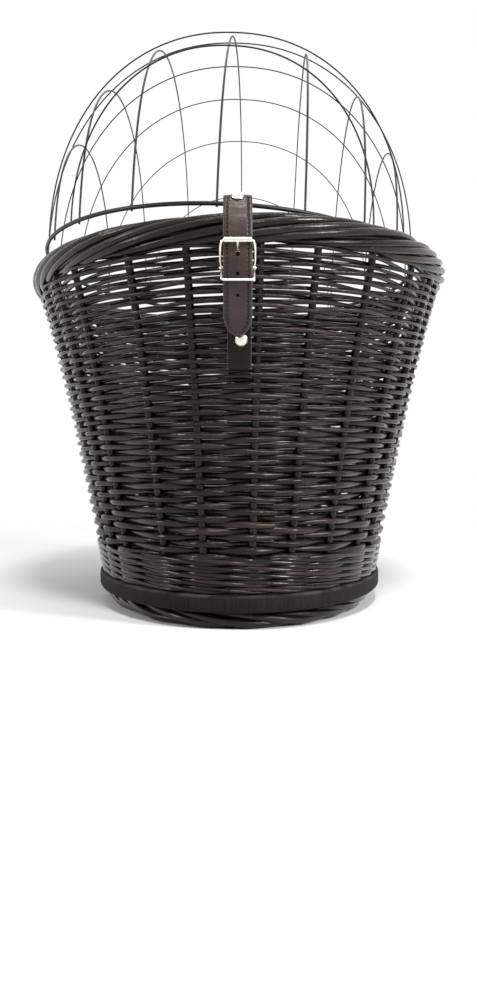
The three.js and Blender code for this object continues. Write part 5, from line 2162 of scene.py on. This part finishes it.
@dataclass(frozen=True)
class Studio:
    """A pale floor, small lamps, a white surround for the camera, and the photograph's camera."""

    camera_place: Triple = (-0.0003, -0.9207, 0.1236)
    lens: float = 37.44
    shift_x: float = -0.0005
    shift_y: float = -0.05
    sensor_width: float = 36.0
    floor_half: float = 8.0
    floor_grey: Triple = (0.82, 0.82, 0.82)
    floor_roughness: float = 0.7
    fade: Pair = (0.30, 0.90)
    light: float = 0.34
    lamps: tuple[tuple[Triple, float, float], ...] = (
        ((-1.7, -0.5, 0.8), 0.4, 14.0),
        ((1.5, -1.1, 0.8), 0.5, 46.0),
        ((0.2, -1.3, 1.9), 0.35, 32.0),
        ((0.0, 0.6, 2.0), 1.4, 10.0),
    )
    aim: Triple = (0.0, 0.0, 0.16)

    @staticmethod
    def seen(tree: Tree) -> Socket:
        """Tells whether a ray shows the background: the camera's, or one that glanced or passed through."""
        rays = tree.add("ShaderNodeLightPath").outputs
        bounced = tree.math("MAXIMUM", rays["Is Glossy Ray"], rays["Is Transmission Ray"])
        return tree.math("MAXIMUM", rays["Is Camera Ray"], bounced)

    def surround(self) -> None:
        """Sets the world: white where it is seen, softer as a light."""
        world = bpy.data.worlds.new("surround")
        bpy.context.scene.world = world
        world.use_nodes = True
        tree = Tree(world.node_tree)
        sky = tree.tree.nodes["Background"]
        sky.inputs["Color"].default_value = (1.0, 1.0, 1.0, 1.0)
        tree.tree.links.new(tree.remap(self.seen(tree), 0.0, 1.0, self.light, 1.0), sky.inputs["Strength"])

    def floor(self) -> None:
        """Lays the pale floor, which fades into the white surround away from the basket's shadow."""
        work = bmesh.new()
        bmesh.ops.create_grid(work, x_segments=1, y_segments=1, size=self.floor_half)
        floor = from_bmesh("floor", work)
        tree = ShaderTree("pale_floor")
        floor.data.materials.append(tree.finish(Base_Color=self.floor_grey, Roughness=self.floor_roughness))
        far = tree.add("ShaderNodeVectorMath", {0: tree.place}, operation="LENGTH").outputs["Value"]
        share = tree.math("MULTIPLY", tree.remap(far, *self.fade, 0.0, 1.0), self.seen(tree))
        white = tree.add("ShaderNodeEmission", {"Color": (1.0, 1.0, 1.0, 1.0), "Strength": 1.0}).outputs[0]
        mixed = tree.add("ShaderNodeMixShader", {0: share, 1: tree.shader.outputs[0], 2: white}).outputs[0]
        tree.tree.links.new(mixed, tree.tree.nodes["Material Output"].inputs["Surface"])

    def hang_lamps(self) -> None:
        """Hangs the lamps, each turned towards the basket."""
        for number, (place, size, power) in enumerate(self.lamps):
            data = bpy.data.lights.new(f"lamp_{number}", "AREA")
            data.energy = power
            data.size = size
            lamp = bpy.data.objects.new(data.name, data)
            lamp.location = place
            lamp.rotation_euler = (Vector(self.aim) - Vector(place)).to_track_quat("-Z", "Y").to_euler()
            bpy.context.scene.collection.objects.link(lamp)

    def camera(self) -> None:
        """Sets up the camera."""
        data = bpy.data.cameras.new("camera")
        data.lens = self.lens
        data.sensor_width = self.sensor_width
        data.shift_x = self.shift_x
        data.shift_y = self.shift_y
        camera = bpy.data.objects.new("camera", data)
        camera.location = self.camera_place
        camera.rotation_euler = (math.pi / 2, 0.0, 0.0)
        bpy.context.scene.collection.objects.link(camera)
        bpy.context.scene.camera = camera

    def build(self) -> None:
        """Sets up the whole studio."""
        self.surround()
        self.floor()
        self.hang_lamps()
        self.camera()
        bpy.context.scene.view_settings.view_transform = "Standard"


def make_kit() -> Kit:
    """Makes the finishes and the trees that the sub-assemblies share."""
    return Kit(
        sweeps=SweepTree(),
        stitches=StitchTree(),
        willow=WillowFinish().build(),
        board=BoardFinish().build(),
        wire=WireFinish().build(),
        strap=LeatherFinish(
            "strap_leather",
            colour=(0.018, 0.0120, 0.0105),
            # mottling, and the painted highlight where the strap is bent
            mottle_and_highlight=(0.048, 0.026, 0.021),
            worn=(0.095, 0.065, 0.052),
            roughness=(0.26, 0.42),
            shine=0.28,
        ).build(),
        tab=LeatherFinish(
            "tab_leather",
            colour=(0.0045, 0.0036, 0.0028),
            mottle_and_highlight=(0.008, 0.0065, 0.005),
            worn=(0.060, 0.055, 0.052),
            roughness=(0.45, 0.65),
            shine=0.14,
        ).build(),
        thread=ThreadFinish().build(),
        nickel=MetalFinish("nickel", (0.80, 0.76, 0.70), (0.55, 0.50, 0.44), (0.16, 0.34)).build(),
        zinc=MetalFinish("zinc_steel", (0.62, 0.63, 0.65), (0.42, 0.42, 0.43), (0.34, 0.52)).build(),
    )


def main() -> None:
    """Builds every sub-assembly, then the studio."""
    logging.basicConfig(level=logging.INFO, format="%(name)s: %(message)s")
    kit = make_kit()
    wall = WallShape(middle("base_board").y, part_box("wale_band")[0].z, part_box("open_weave_wall")[1].z)
    WovenWall(wall).build(kit)
    RolledBorder("rolled_rim", "rim_border", RIM_WINDING, RIM_WIDTH, RIM_TILT).build(kit)
    RolledBorder("rolled_foot", "foot_border", FOOT_WINDING, FOOT_WIDTH, seed=SEED + 1).build(kit)
    BaseBoard().build(kit)
    Grille(joint_place("grille_hinge")).build(kit)
    Hinges(wall).build(kit)
    Closure(wall).build(kit)
    Clamps().build(kit)
    Studio().build()


if __name__ == "__main__":
    main()
